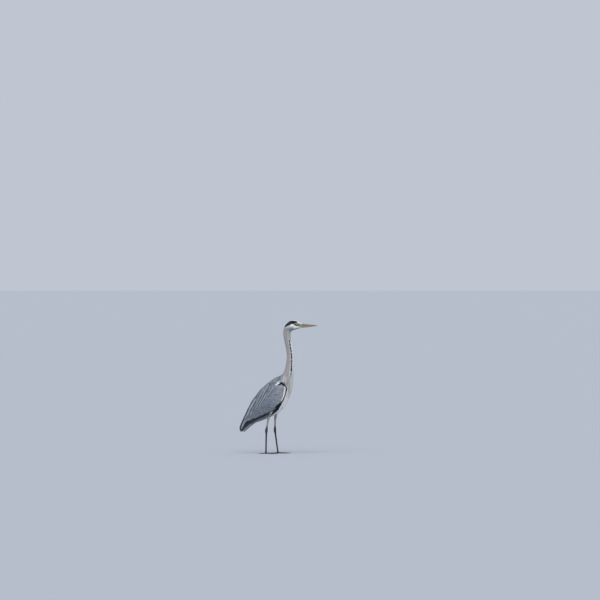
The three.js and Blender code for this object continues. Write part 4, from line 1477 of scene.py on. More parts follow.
@dataclass
class Skin:
    """One skin for the whole bird, under the feathers by the coat's depth and bare on face, legs and feet."""

    face_sink: float = 1.2
    neck_sink: float = 3.6
    trunk_sink: float = 7.0
    wing_sink: float = 3.4
    tail_sink: float = 1.6
    thigh_sink: float = 2.6
    columns: int = 80

    def sink(self, u: Array) -> Array:
        """The coat's depth on the body form: least on the face, most on the trunk."""
        nape = self.face_sink + 1.4 * smooth(18.6, 16.6, u) - self.face_sink * smooth(21.5, 22.0, u)
        neck = nape + (self.neck_sink - 2.6) * smooth(16.6, 15.0, u)
        return neck + (self.trunk_sink - self.neck_sink) * smooth(9.4, 7.0, u)

    def folds(self, point: Array) -> Array:
        """How far the bare face stands out or in: the brow, the groove from the eye to the gape, the gape."""
        x, z = point[..., 0], point[..., 2]
        away = from_eye(point)
        brow = 1.3 * bell(z, 938.5 - 0.18 * (x - 133), 2.2) * smooth(118, 126, x) * smooth(158, 146, x)
        lores = -1.4 * bell(z, 930.5 - 0.20 * (x - 140), 3.4) * smooth(139, 143, x) * smooth(164, 157, x)
        gape = 0.7 * bell(z, 917.6 + 0.05 * (x - 150), 1.3) * smooth(138, 146, x)
        slit = -0.8 * bell(z, 915.8, 0.7) * smooth(141, 147, x)
        socket = -2.2 * smooth(8.6, 5.8, away)
        wrinkles = 0.10 * np.sin(away * 3.6) * smooth(14, 7, away)
        return smooth(5, 9, np.abs(point[..., 1])) * (brow + lores + gape + slit + socket + wrinkles)

    def body(self) -> Part:
        """Head, neck and trunk as one tube through the ribs, finest over the face."""
        u = np.concatenate([
            np.linspace(0.1, NECK_BASE, 76), np.linspace(NECK_BASE, SKULL, 96)[1:],
            np.linspace(SKULL, 18.4, 40)[1:], np.linspace(18.4, BILL_EDGE + 0.14, 98)[1:],
        ])
        grid_u, grid_v, places = form_grid(BODY_FORM, u, self.columns)
        point, normal, _, _ = BODY_FORM.measure(grid_u, grid_v)
        depth = self.sink(grid_u) - smooth(18.6, 19.2, grid_u) * self.folds(point)
        # the coat's markings a shade darker, as painted shade where the skin lies under the feathers
        return tube(point - normal * depth[..., None], paint_body(point, grid_u, grid_v) * 0.92, places)

    def lens(self, form: BladeForm, paint: Callable[[Array], Array], upper: float = 0.03) -> Part:
        """A blade's flesh: the outer face sunk under its coat and a flatter inner one, closed."""
        u = np.linspace(0.12, form.u_range[1] - 0.12, 110)
        out = np.linspace(upper, 0.97, 20)
        back = out[-2:0:-1]
        grid_u, grid_v = grid(u, np.concatenate([out, back]))
        outer = np.arange(grid_u.shape[1]) < len(out)
        point, normal, _, _ = form.measure(grid_u, grid_v)
        arch = np.sin(np.pi * (grid_v - 0.03) / 0.94)
        thin = np.minimum(self.wing_sink, rows_at(form.rows, grid_u)[..., 6] * 0.8)
        sunk = point - normal * (thin * (0.25 + 0.75 * arch))[..., None]
        inner = form.sheet(grid_u, grid_v, -0.12 * rows_at(form.rows, grid_u)[..., 6] - 0.3)
        rings = np.where(outer[None, :, None], sunk, inner)
        places = form.unwrap(grid_u, grid_v)
        places = np.concatenate([places, places[:, :1]], axis=1)
        # the blade's markings darker, as painted shade under its feathers
        return tube(rings, paint(point) * 0.8, places)

    def tail(self) -> Part:
        """The tail's flesh and quill bases, a thin lens under the tail feathers."""
        u = np.linspace(0.0, TAIL_FORM.u_range[1] - 0.4, 60)
        grid_u, grid_v, places = form_grid(TAIL_FORM, u, 48)
        point, normal, _, _ = TAIL_FORM.measure(grid_u, grid_v)
        thin = np.minimum(self.tail_sink, rows_at(TAIL_ROWS, grid_u)[..., 3] * 0.6)
        # darker than the tail's feathers, as painted shade under them, with painted shade along the lower
        # edge
        return tube(point - normal * thin[..., None], vent_shade_line(Tone.ASH.rgb, point) * 0.8, places)

    def thigh(self, side: int) -> Part:
        """The muscled thigh down to where the feathers end."""
        form = THIGH_FORM[side]
        u = np.linspace(0, 4.98, 90)
        grid_u, grid_v, places = form_grid(form, u, 40)
        point, normal, _, _ = form.measure(grid_u, grid_v)
        depth = self.thigh_sink * smooth(5.0, 4.0, grid_u)
        # darker than the thigh's feathers, as painted shade under them
        return tube(point - normal * depth[..., None], paint_thigh(point) * 0.9, places)

    def leg(self, side: int) -> Part:
        """The bare leg as one tube from inside the thigh over the hock to the pad, with plates.

        Plates add a rounded step every 5 mm in front and a finer one behind, and the tube ends flat on the
        floor.
        """
        top_x, top_z = SHANK_TOP[side]
        hock, foot, y = HOCK_X[side], FOOT_X[side], side * STANCE
        shank = [
            [top_x + (hock - top_x) * share, y, top_z + (HOCK_HEIGHT - top_z) * share, wide, deep]
            for share, wide, deep in (
                (-0.2, 5.0, 5.8), (0, 5.2, 6.0), (0.35, 4.9, 5.9), (0.7, 5.4, 6.9), (0.9, 6.8, 8.9),
                (1.0, 7.5, 9.7),
            )
        ]
        tarsus = [
            [foot + (hock - foot) * z / HOCK_HEIGHT, y, z, wide, deep]
            for z, wide, deep in (
                (156, 6.7, 8.3), (142, 4.9, 6.2), (115, 4.5, 5.8), (90, 4.2, 5.5), (60, 4.2, 5.4),
                (34, 4.3, 5.4), (15, 5.6, 6.1), (6, 7.2, 7.2), (0.5, 6.6, 6.6), (-4, 6.0, 6.0),
            )
        ]
        form = LimbForm(np.array(shank + tarsus), (0.61 if side == RIGHT else 0.81, 0.80, 0.99, 0.99))
        rows = form.rows[:, 2]
        heights = np.concatenate([np.arange(rows[0], 1.2, -0.9), [0.6, 0.2, 0.0]])
        dense = np.linspace(0, len(rows) - 1, 2000)
        u = np.interp(-heights, -rows_at(form.rows, dense)[:, 2], dense)
        grid_u, grid_v, places = form_grid(form, u, 36)
        point, normal, _, _ = form.measure(grid_u, grid_v)
        z = np.broadcast_to(heights[:, None], grid_v.shape)
        front = smooth(0.1, 0.75, np.cos(grid_v))
        rear = smooth(0.1, 0.75, -np.cos(grid_v))
        slanted = z + 1.2 * np.cos(grid_v * 2)
        plates = np.abs(np.sin(np.pi * slanted / 5.0)) ** 0.4 * front
        plates = plates + np.abs(np.sin(np.pi * z / 3.4)) ** 0.5 * rear
        bare = smooth(top_z + 6, top_z - 6, z)
        tendon = -0.5 * bell(np.cos(grid_v), -0.35, 0.22) * smooth(18, 34, z) * smooth(150, 135, z)
        rings = point + normal * ((-0.45 + 0.45 * plates + tendon) * bare)[..., None]
        rings[..., 2] = np.maximum(rings[..., 2], 0)
        rings[-3:, :, 2] = heights[-3:, None]
        return tube(rings, self.paint_leg(rings, plates, z), places)

    def paint_leg(self, point: Array, plates: Array, z: Array) -> Array:
        """Pale grey-brown shank, dark hock and a dark grey-brown tarsus, lighter between the plates."""
        return layers(
            Tone.TARSUS.rgb,
            (Tone.TARSUS_WORN, 0.5 + 0.5 * noise(point, 26, 41)),
            (Tone.SHANK, smooth(HOCK_HEIGHT + 14, HOCK_HEIGHT + 40, z)),
            (Tone.HOCK, smooth(24, 8, np.abs(z - HOCK_HEIGHT)) * 0.8),
            (Tone.PLATE_GAP, smooth(0.55, 0.1, plates) * 0.16),
        )

    def build(self) -> bpy.types.Object:
        """Joins every shell into one object that stands for all the nodes of flesh."""
        eyes = Eyes()
        parts = [self.body(), self.tail()]
        for side in (RIGHT, LEFT):
            foot = Foot(side)
            parts += [
                self.lens(WING_FORM[side], paint_wing_flesh),
                self.lens(SCAPULAR_FORM[side], paint_scapulars, 0.14),
                self.thigh(side), self.leg(side), eyes.lids(side), foot.web(),
                *(foot.toe(name) for name in foot.toes),
            ]
        return make_piece("skin", join(parts), BIRD_SKIN, "body_feathers", *FLESH)


# ---------- bill
@dataclass
class Bill:
    """The two halves of a dagger bill, with nostril slits and a dark culmen."""

    base_x: float = 164.5
    gape_z: float = 917.5
    gap: float = 0.3
    half_width: float = 10.5

    def half(self, upper: bool) -> Part:
        """Rings of a half bill: the tomium line, plus sin a of the height outwards and cos a of the width.

        The width thins by 0.9 u^0.85. The upper half has a nostril slit in a groove, and the lower a
        shallow groove.
        """
        length = 113.5 * (1 if upper else 0.985)
        spans = ((0, 0.24, 60), (0.25, 0.9, 60), (0.91, 0.998, 16))  # the first is finest, round the nostril
        u = np.concatenate([[-0.03], *(np.linspace(*span) for span in spans)])
        a = np.concatenate([np.linspace(0, math.pi, 81), math.pi + np.linspace(0, math.pi, 9)[1:-1]])
        u_grid, a_grid = grid(u, a)
        reach = np.clip(u_grid, 0, 1)
        edge = self.gape_z + 4.5 * reach
        top = 936 - 12.8 * (0.9 * reach + 0.1 * reach**2)
        low = 906.5 + 14.3 * (0.55 * reach + 0.45 * reach**2)
        tall = (top - edge) if upper else (low - edge)
        half = self.half_width * (1 - 0.9 * reach**0.85) * (1 if upper else 0.92)
        arc = np.clip(np.sin(a_grid), 0, 1) ** 0.85
        blunt = np.sqrt(np.clip((1 - reach) / 0.02, 0, 1)) * 0.94 + 0.06
        blunt = blunt * (1 - 0.05 * smooth(0.02, -0.03, u_grid))
        y = -half * np.cos(a_grid) * blunt
        sign = 1 if upper else -1
        z = edge + sign * self.gap / 2 + tall * arc * blunt
        x = self.base_x + length * u_grid
        if upper:
            groove = bell(arc, 0.60, 0.13) * smooth(0.55, 0.08, u_grid) * smooth(-0.02, 0.05, u_grid)
            slit = smooth(1.2, 0.4, ((u_grid - 0.115) / 0.052) ** 2 + ((arc - 0.60) / 0.055) ** 2)
            y = y * (1 - (groove * 0.10 + slit * 0.14))
        else:
            slit = arc * 0
            y = y * (1 - 0.06 * bell(arc, 0.6, 0.2) * smooth(0.6, 0.2, u_grid))
        rings = np.stack([x, y, z], axis=-1)
        colours = self.paint(reach, arc, slit, upper, rings)
        shares = np.concatenate([a, [2 * math.pi]]) / (2 * math.pi)
        places = lattice(u * 0.8 + 0.1, shares * 0.8 + 0.1)
        return tube(rings, colours, places)

    def paint(self, reach: Array, arc: Array, slit: Array, upper: bool, point: Array) -> Array:
        """Dull orange-yellow horn: brown culmen, clearer yellow below, painted shade in the nostril."""
        streak = noise(point * np.array([0.12, 1, 1]), 5, 71)
        return layers(
            (Tone.BILL_UPPER if upper else Tone.BILL_LOWER).rgb,
            (Tone.BILL_FLUSH, smooth(0.3, 0.95, reach) * 0.5),
            (Tone.BILL_STREAK, (0.5 + 0.5 * streak) * 0.35),
            (Tone.CULMEN, smooth(0.70, 0.98, arc) * (1 - 0.6 * reach) * upper),
            (Tone.BILL_TIP, smooth(0.60, 0.95, reach) * 0.75),
            (Tone.BILL_ROOT, smooth(0.10, 0.0, reach) * 0.5),
            # painted shade in the nostril slit, which the mesh only dents
            (Tone.NOSTRIL, np.clip(slit * 1.6, 0, 1) * 0.9),
        )

    def build(self) -> None:
        """Makes both halves."""
        make_piece("upper_bill", self.half(True), BEAK_HORN, "bill_horn", "bill_upper")
        make_piece("lower_bill", self.half(False), BEAK_HORN, "bill_horn", "bill_lower")


# ---------- coats
@dataclass
class Tract:
    """One kind of feather over one stretch of a form. Lengths are millimetres, as functions of u."""

    form: Form
    cut: Cut
    u_span: tuple[float, float]
    v_span: tuple[float, float]
    row_gap: Profile
    column_gap: Profile
    length: Profile
    breadth: Profile
    paint: Callable[[Array, Array, Array], Array]
    seed: int
    toward: int = -1
    sink: Profile = 3
    lift: Profile = 0.5
    arch: float = 0.6
    camber: float = 0.3
    thickness: float = 0.25
    ridge: float = 0.0
    ruffle: float = 0.08  # radians of scatter in the lie
    scatter: float = 0.14  # of the roots, as a share of the gaps
    overrun: float = 8.0  # how far a tip may pass the form's end
    # painted shade at the roots, as a share darker than the tips
    shade: float = 0.25
    turn: Callable[[Array, Array], Array] = lambda u, v: u * 0
    keep: Optional[Callable[[Array, Array, Array], Array]] = None
    end_keep: Optional[Callable[[Array], Array]] = None
    edge: Tone = Tone.WHITE
    edge_share: float = 0.15
    variation: float = 0.06
    own_share: float = 0.5  # of the colour, taken from under each station, the rest from under the tip

    def grow(self) -> Part:
        """Sets out, lays, cuts and colours the tract's feathers."""
        rng = np.random.default_rng(self.seed)
        u, v = brick(self.form, self.u_span, self.v_span, self.row_gap, self.column_gap, self.scatter, rng)
        if self.keep is not None:
            kept = self.keep(self.form.point(u, v), u, v)
            u, v = u[kept], v[kept]
        count = len(u)
        length = profile(self.length, u) * rng.uniform(0.86, 1.12, count)
        length = np.minimum(length, self.room(u, v) + self.overrun)
        lay = Lay(
            length, profile(self.breadth, u) * rng.uniform(0.88, 1.12, count),
            self.turn(u, v) + rng.normal(0, self.ruffle, count), profile(self.sink, u),
            profile(self.lift, u) + rng.uniform(-0.3, 0.3, count) * self.thickness, self.arch, self.camber,
            rng.normal(0, 0.08, count), self.thickness, self.ridge, self.shade,
        )
        shaft, normal, track = walk(self.form, u, v, lay, self.cut, self.toward)
        if self.end_keep is not None:
            kept = self.end_keep(shaft[:, -1])
            shaft, normal, track, u, v = (each[kept] for each in (shaft, normal, track, u, v))
            lay = lay.pick(kept)
        return self.dress(shaft, normal, track, u, v, lay, rng)

    def room(self, u: Array, v: Array) -> Array:
        """How far each root is from the end that its feather points to, straight along the form."""
        end = self.form.u_range[1 if self.toward > 0 else 0]
        share = np.linspace(0, 1, 24)[None]
        path = self.form.point(*np.broadcast_arrays(u[:, None] + (end - u[:, None]) * share, v[:, None]))
        return run_length(path)

    def dress(
        self, shaft: Array, normal: Array, track: Array, u: Array, v: Array, lay: Lay,
        rng: np.random.Generator,
    ) -> Part:
        """Paints the laid shafts and spreads their vanes.

        A vane takes part of its colour from the place under each station and the rest from under its tip, so
        that the marks have feathered edges. Each feather is a little lighter or darker than its neighbours,
        and a black one has no pale margin.
        """
        under = self.paint(shaft, track[..., 0], track[..., 1])
        colour = under * self.own_share + under[:, -2:-1] * (1 - self.own_share)
        colour = colour * (1 + rng.normal(0, self.variation, len(u)))[:, None, None]
        pale = smooth(0.01, 0.08, under[:, -2].mean(axis=-1))
        edge = blend(under[:, -2], self.edge.rgb, self.edge_share * rng.uniform(0.4, 1.3, len(u)) * pale)
        return vanes(shaft, normal, lay, self.cut, colour, edge, self.form.unwrap(u, v))


def eye_clear(point: Array, *_: Array) -> Array:
    """Tells where the face is feathered: away from the eyelids and the bare lores."""
    bare = (from_eye(point) < 8.2) | (Band.LORES.depth(point) > 0.15)
    return ~((np.abs(point[..., 1]) > 7) & bare)


# Outlines from the side: what the folded wing and the scapulars hide, and how far the plumes reach.
HIDDEN_OUTLINES = [blade_outline(WING_ROWS, 0.34), blade_outline(SCAPULAR_ROWS, 0.3)]
SCAPULAR_REACH = blade_outline(SCAPULAR_ROWS, -0.12)
WING_REACH = blade_outline(WING_ROWS, -0.04)
WING_OFF = 14  # how far off the middle plane the wing's feathers begin, mm


def shown(point: Array, *_: Array) -> Array:
    """Tells which places on the trunk are not under a wing or the scapulars."""
    covered = inside(HIDDEN_OUTLINES[0], side_view(point)) | inside(HIDDEN_OUTLINES[1], side_view(point))
    return ~(covered & (np.abs(point[..., 1]) > WING_OFF))


@dataclass
class HeadCoat:
    """Short close feathers over face, crown and cheeks, and the long black crest laid to the nape."""

    def face(self) -> Part:
        """The small feathers, which are shortest at the bill."""
        return Tract(
            BODY_FORM, Cut.SOFT, (15.7, 22.1), (0, 2 * math.pi),
            ((15.7, 2.8), (18, 2.2), (20, 1.6), (22, 1.2)), ((15.7, 1.6), (18, 1.35), (20, 1.2), (22, 1.1)),
            ((15.7, 18), (17.5, 14), (19.5, 8.5), (20.8, 6), (22, 4.5)),
            ((15.7, 1.5), (18, 1.25), (20, 1.0), (22, 0.8)), paint_body, 101,
            sink=((15.7, 3.0), (18.5, 1.5), (22, 0.9)), lift=((15.7, 0.3), (22, 0.2)), arch=0.25,
            thickness=0.12, ruffle=0.12, keep=eye_clear, edge_share=0.06, shade=0.14,
            variation=0.03, camber=0.15, own_share=0.75,
        ).grow()

    def crest(self) -> Part:
        """Slim black feathers from the crown's sides, drawn together on the nape."""
        return Tract(
            BODY_FORM, Cut.PLUME, (16.9, 19.0), (-1.35, 1.35), 3.2, 1.9,
            ((16.9, 24), (19, 42)), 1.2,
            lambda p, u, v: blend(paint_body(p, u, v), Tone.BLACK.rgb, np.full(u.shape, 0.96)), 102,
            sink=1.6, lift=1.2, arch=0.5, thickness=0.18, ruffle=0.05,
            turn=lambda u, v: -np.sign(v) * 0.10,
            keep=lambda point, u, v: (Band.CREST.depth(point) > 0.35) & (np.abs(point[..., 1]) > 4),
            edge=Tone.BLACK, shade=0.1,
        ).grow()

    def build(self) -> None:
        """Makes the head's two pieces."""
        make_piece("head_coat", self.face(), SOFT_FEATHER, "head_feathers")
        make_piece("crest", self.crest(), PLUME_FEATHER, "head_feathers")


@dataclass
class NeckCoat:
    """Narrow soft feathers down the neck, longer towards the breast."""

    def stretch(self, u_span: tuple[float, float], seed: int) -> Part:
        """One stretch of the neck."""
        return Tract(
            BODY_FORM, Cut.SOFT, u_span, (0, 2 * math.pi),
            ((7, 6.0), (10, 4.6), (16.3, 3.4)), ((7, 2.9), (10, 2.1), (16.3, 1.7)),
            ((7, 42), (9, 34), (12, 25), (16.3, 18)), ((7, 2.6), (10, 1.9), (16.3, 1.5)),
            paint_body, seed, sink=((7, 6.0), (9.4, 3.4), (16.3, 3.0)), lift=((7, 0.5), (16.3, 0.3)),
            arch=0.5, thickness=0.16, ruffle=0.10, edge_share=0.06, shade=0.14, variation=0.035, camber=0.15,
            own_share=0.75,
        ).grow()

    def build(self) -> None:
        """Makes the neck's coat in two lengths."""
        make_piece("neck_coat_upper", self.stretch((11.6, 16.0), 111), SOFT_FEATHER, "neck_feathers")
        make_piece("neck_coat_lower", self.stretch((7.6, 11.6), 112), SOFT_FEATHER, "neck_feathers")


@dataclass
class BodyCoat:
    """Breast, belly, flank and undertail feathers, and the mantle between the shoulders."""

    def trunk(self) -> Part:
        """Broad overlapping feathers where no wing covers the trunk."""
        return Tract(
            BODY_FORM, Cut.CONTOUR, (0.1, 8.0), (0, 2 * math.pi), ((0, 8.5), (8, 6.5)), ((0, 5.5), (8, 3.6)),
            ((0, 52), (4, 44), (8, 40)), ((0, 5.5), (4, 4.6), (8, 2.8)), paint_body, 121,
            sink=6.0, lift=((0, 4.5), (2.2, 3.5), (3.6, 0.6)), arch=1.4, ruffle=0.09,
            camber=0.12, shade=0.3, ridge=0.2,
            keep=shown, edge_share=0.35, variation=0.07, overrun=26,
        ).grow()

    def foreneck(self) -> Part:
        """Long slim feathers round the foot of the neck, which run on into the hanging plumes."""
        return Tract(
            BODY_FORM, Cut.PLUME, (6.4, 9.4), (math.pi - 1.25, math.pi + 1.25), ((6, 9), (10, 7)),
            ((6, 4.2), (10, 3.4)), ((6, 62), (9.4, 84)), 2.0, paint_body, 124,
            sink=4, lift=2.0, arch=1.2, ruffle=0.07, camber=0.2, shade=0.12,
            edge_share=0.2, variation=0.05, thickness=0.2,
        ).grow()

    def mantle(self) -> Part:
        """Slate feathers along the back, which lie up over the scapulars' inner edges."""
        return Tract(
            BODY_FORM, Cut.COVERT, (1.2, 7.9), (-0.62, 0.62), ((0, 10), (8, 7)), ((0, 8), (8, 5)),
            ((0, 54), (5, 40), (8, 28)), ((0, 8.5), (5, 7), (8, 4)), paint_body, 122,
            sink=3, lift=((1, 1.2), (6.5, 1.6), (7.9, 0.6)), arch=0.5, ruffle=0.08,
            edge=Tone.SILVER, edge_share=0.45, camber=0.15, scatter=0.08, overrun=20, ridge=0.3,
            variation=0.12,
        ).grow()

    def thigh(self, side: int) -> Part:
        """Short feathers down the thigh to the bare shank."""
        return Tract(
            THIGH_FORM[side], Cut.SOFT, (0.4, 4.93), (0, 2 * math.pi), ((0, 7), (5, 3.4)),
            ((0, 4.5), (5, 2.2)), ((0, 34), (4, 22), (5, 11)), ((0, 3.4), (5, 1.5)),
            paint_thigh, 123 + side, toward=1, sink=((0, 3), (5, 1.2)),
            lift=((0, 0.5), (5, 0.7)), arch=0.6, ruffle=0.12, edge_share=0.10, shade=0.15, camber=0.2,
        ).grow()

    def build(self) -> None:
        """Makes the body's pieces."""
        make_piece("body_coat", self.trunk(), CONTOUR_FEATHER, "body_feathers")
        make_piece("foreneck_plumes", self.foreneck(), PLUME_FEATHER, "neck_feathers")
        make_piece("mantle", self.mantle(), CONTOUR_FEATHER, "body_feathers")
        make_piece("thigh_coat", join([self.thigh(RIGHT), self.thigh(LEFT)]), SOFT_FEATHER, "body_feathers")


PLUME_ROWS = [
    (108, 566, 9, 3.5), (104, 527, 17, 7), (98, 488, 21, 9), (91, 450, 20, 9), (79, 418, 15, 8),
    (66, 386, 7, 4), (59, 369, 2, 1.5),
]  # the hanging breast plumes: front x, z, half width and half thickness
PLUME_FORM = LimbForm(
    np.array([[x - thick, 0, z, wide, thick] for x, z, wide, thick in PLUME_ROWS]), (0.62, 0.80, 0.80, 0.99)
)


@dataclass
class BreastPlumes:
    """Long slim whitish feathers that hang from the neck's foot over the breast, some with a dark streak."""

    def paint(self, point: Array, u: Array, v: Array) -> Array:
        """White to cream, with grey towards the sides and a few dark strands in the neck's line of dashes."""
        wide = np.abs(point[..., 1])
        strand = smooth(0.2, 0.6, noise(point * np.array([1, 1, 0.06]), 7, 82)) * smooth(4, 8, wide)
        strand = strand * smooth(15, 12, wide)
        return layers(
            Tone.WHITE.rgb,
            (Tone.CREAM, 0.5 + 0.5 * noise(point, 25, 81)),
            (Tone.SMOKE, smooth(9, 17, wide) * 0.7),
            (Tone.DEEP_SLATE, strand * smooth(400, 430, point[..., 2]) * 0.85),
            (Tone.SMOKE, smooth(10, 2, wide) * smooth(0.3, 0.8, noise(point, 12, 83)) * 0.4),
        )

    def build(self) -> None:
        """Makes the plumes."""
        plumes = Tract(
            PLUME_FORM, Cut.PLUME, (0.0, 5.0), (-2.3, 2.3), 9, 3.2,
            ((0, 110), (2, 92), (4, 60), (5, 36)), 1.8, self.paint, 131, toward=1,
            sink=2.5, lift=0.8, arch=0.8, camber=0.2, ruffle=0.09, shade=0.12,
            turn=lambda u, v: 0.16 * np.sin(v), overrun=3,
        ).grow()
        make_piece("breast_plume_coat", plumes, PLUME_FEATHER, "plumes")


def quill_spans(first: tuple[float, ...], change: tuple[float, ...], count: int) -> Array:
    """Root u, root v, tip u and tip v of quills in a row, each a share of the change on from the first."""
    return np.array(first) + np.array(change) * np.linspace(0, 1, count)[:, None]


@dataclass
class WingCoat:
    """A folded wing: coverts in rows that lengthen rearwards, tertials over them and black quills below."""

    side: int

    @property
    def form(self) -> BladeForm:
        """The wing that carries the feathers."""
        return WING_FORM[self.side]

    def coverts(self) -> Part:
        """Small coverts at the bend that grow towards the rear, down to the black quills' line."""
        return Tract(
            self.form, Cut.COVERT, (0.05, 8.8), (0.03, 0.97), ((0, 5.5), (2, 8), (5, 12), (9, 15)),
            ((0, 3.8), (2, 5.2), (5, 7), (9, 8)), ((0, 17), (1.5, 30), (4, 48), (9, 70)),
            ((0, 3.1), (1.5, 4.4), (4, 6.4), (9, 7.8)), paint_wing, 142 + self.side,
            toward=1, sink=((0, 2.2), (9, 2.6)), lift=((0, 0.7), (9, 1.0)), arch=0.7, camber=0.14,
            turn=lambda u, v: 0.12 * (0.8 - v),
            end_keep=lambda tip: (
                (over_primaries(tip) > smooth(0, -120, tip[..., 0]) * 3 - 1.5) & (tip[..., 0] > -222)
            ),
            keep=lambda point, u, v: ~inside(HIDDEN_OUTLINES[1], side_view(point)),
            edge=Tone.SILVER, edge_share=0.5, variation=0.13, ridge=0.35, scatter=0.06, ruffle=0.05,
            shade=0.4,
        ).grow()

    def edge_coverts(self) -> Part:
        """Tiny white feathers that wrap the leading edge."""
        return Tract(
            self.form, Cut.SOFT, (0.0, 3.4), (0.84, 1.03), 3.2, 2.6, 11, 1.7, paint_wing, 142, toward=1,
            sink=1.5, lift=1.2, arch=0.4, edge_share=0.05, shade=0.12,
        ).grow()

    def quills(
        self, spans: Array, breadth: float, tone: Tone, edge: Tone, height: tuple[float, float],
    ) -> Part:
        """Long flight feathers, each from a root to a tip given as u and v, stacked in their order.

        Args:
            spans: root u, root v, tip u and tip v, one feather to a row, lowest first.
            breadth: half breadth.
            tone: colour.
            edge: colour of the margins.
            height: how far the first and the last stand over the form.

        Returns:
            The feathers.
        """
        count = len(spans)
        s = Cut.FLIGHT.stations[None]
        u = spans[:, :1] + (spans[:, 2:3] - spans[:, :1]) * s
        v = spans[:, 1:2] + (spans[:, 3:4] - spans[:, 1:2]) * s**1.3
        point, normal, _, _ = self.form.measure(u, v)
        stack = np.linspace(height[0], height[1], count)[:, None]
        shaft = point + normal * (stack - 1.5 * (1 - s) ** 2)[..., None]  # the roots go 1.5 mm deeper
        rng = np.random.default_rng(150)
        breadths = breadth * rng.uniform(0.94, 1.06, count)
        lay = Lay(run_length(shaft), breadths, 0, 0, 0, 0, camber=0.12, thickness=0.5, ridge=0.5)
        colour = tone.rgb * (1 + rng.normal(0, 0.08, count))[:, None]
        edges = blend(colour, edge.rgb, np.full(count, 0.35))
        patch = self.form.unwrap(spans[:, 0], spans[:, 1])
        part = vanes(shaft, normal, lay, Cut.FLIGHT, colour, edges, patch)
        # the black rim, then painted shade along the lower edge of the vent and the tail
        part.colours = vent_shade_line(rear_rim(part.colours, part.points), part.points)
        return part

    def primaries(self) -> Part:
        """The black band under the coverts, the black wing tip and the grey feathers along its lower edge."""
        low = quill_spans((6.2, 0.78, 12.0, 0.90), (-2.8, 0.08, -5.6, -0.06), 12)
        high = quill_spans((6.0, 0.30, 12.0, 0.16), (0, 0.4, -1.4, 0.44), 9)
        upper = np.array([[6.6, 0.16, 11.8, 0.30], [7.0, 0.10, 11.2, 0.12]])
        strip = np.array([[5.6, 1.02, 11.2, 1.04], [5.2, 1.03, 10.2, 1.07], [4.8, 1.04, 9.0, 1.08]])
        return join([
            self.quills(high, 12, Tone.PRIMARY, Tone.DEEP_SLATE, (-2.4, -1.6)),
            self.quills(low, 7, Tone.PRIMARY, Tone.DEEP_SLATE, (-2.2, -0.6)),
            self.quills(upper, 4.5, Tone.PRIMARY, Tone.DEEP_SLATE, (1.6, 2.4)),
            self.quills(strip, 7.2, Tone.SLATE, Tone.SILVER, (-3.0, -2.2)),
        ])

    def tertials(self) -> Part:
        """Long broad grey feathers from the elbow towards the wing's tip."""
        row = quill_spans((4.6, 0.70, 8.6, 0.56), (0.3, -0.42, 2.3, -0.24), 8)
        longest = np.array([[7.2, 0.40, 11.3, 0.50], [7.0, 0.34, 11.75, 0.40]])
        return join([
            self.quills(row, 7.5, Tone.SLATE, Tone.SILVER, (0.0, 3.0)),
            self.quills(longest, 6.5, Tone.ASH, Tone.SILVER, (2.6, 3.2)),
        ])

    def build(self) -> None:
        """Makes this wing's pieces."""
        name = SIDE_NAME[self.side]
        coverts = join([self.coverts(), self.edge_coverts()])
        make_piece(f"wing_coverts_{name}", coverts, CONTOUR_FEATHER, "wing_feathers")
        make_piece(f"tertials_{name}", self.tertials(), FLIGHT_FEATHER, "wing_feathers")
        make_piece(f"flight_{name}", self.primaries(), FLIGHT_FEATHER, "flight_feathers")


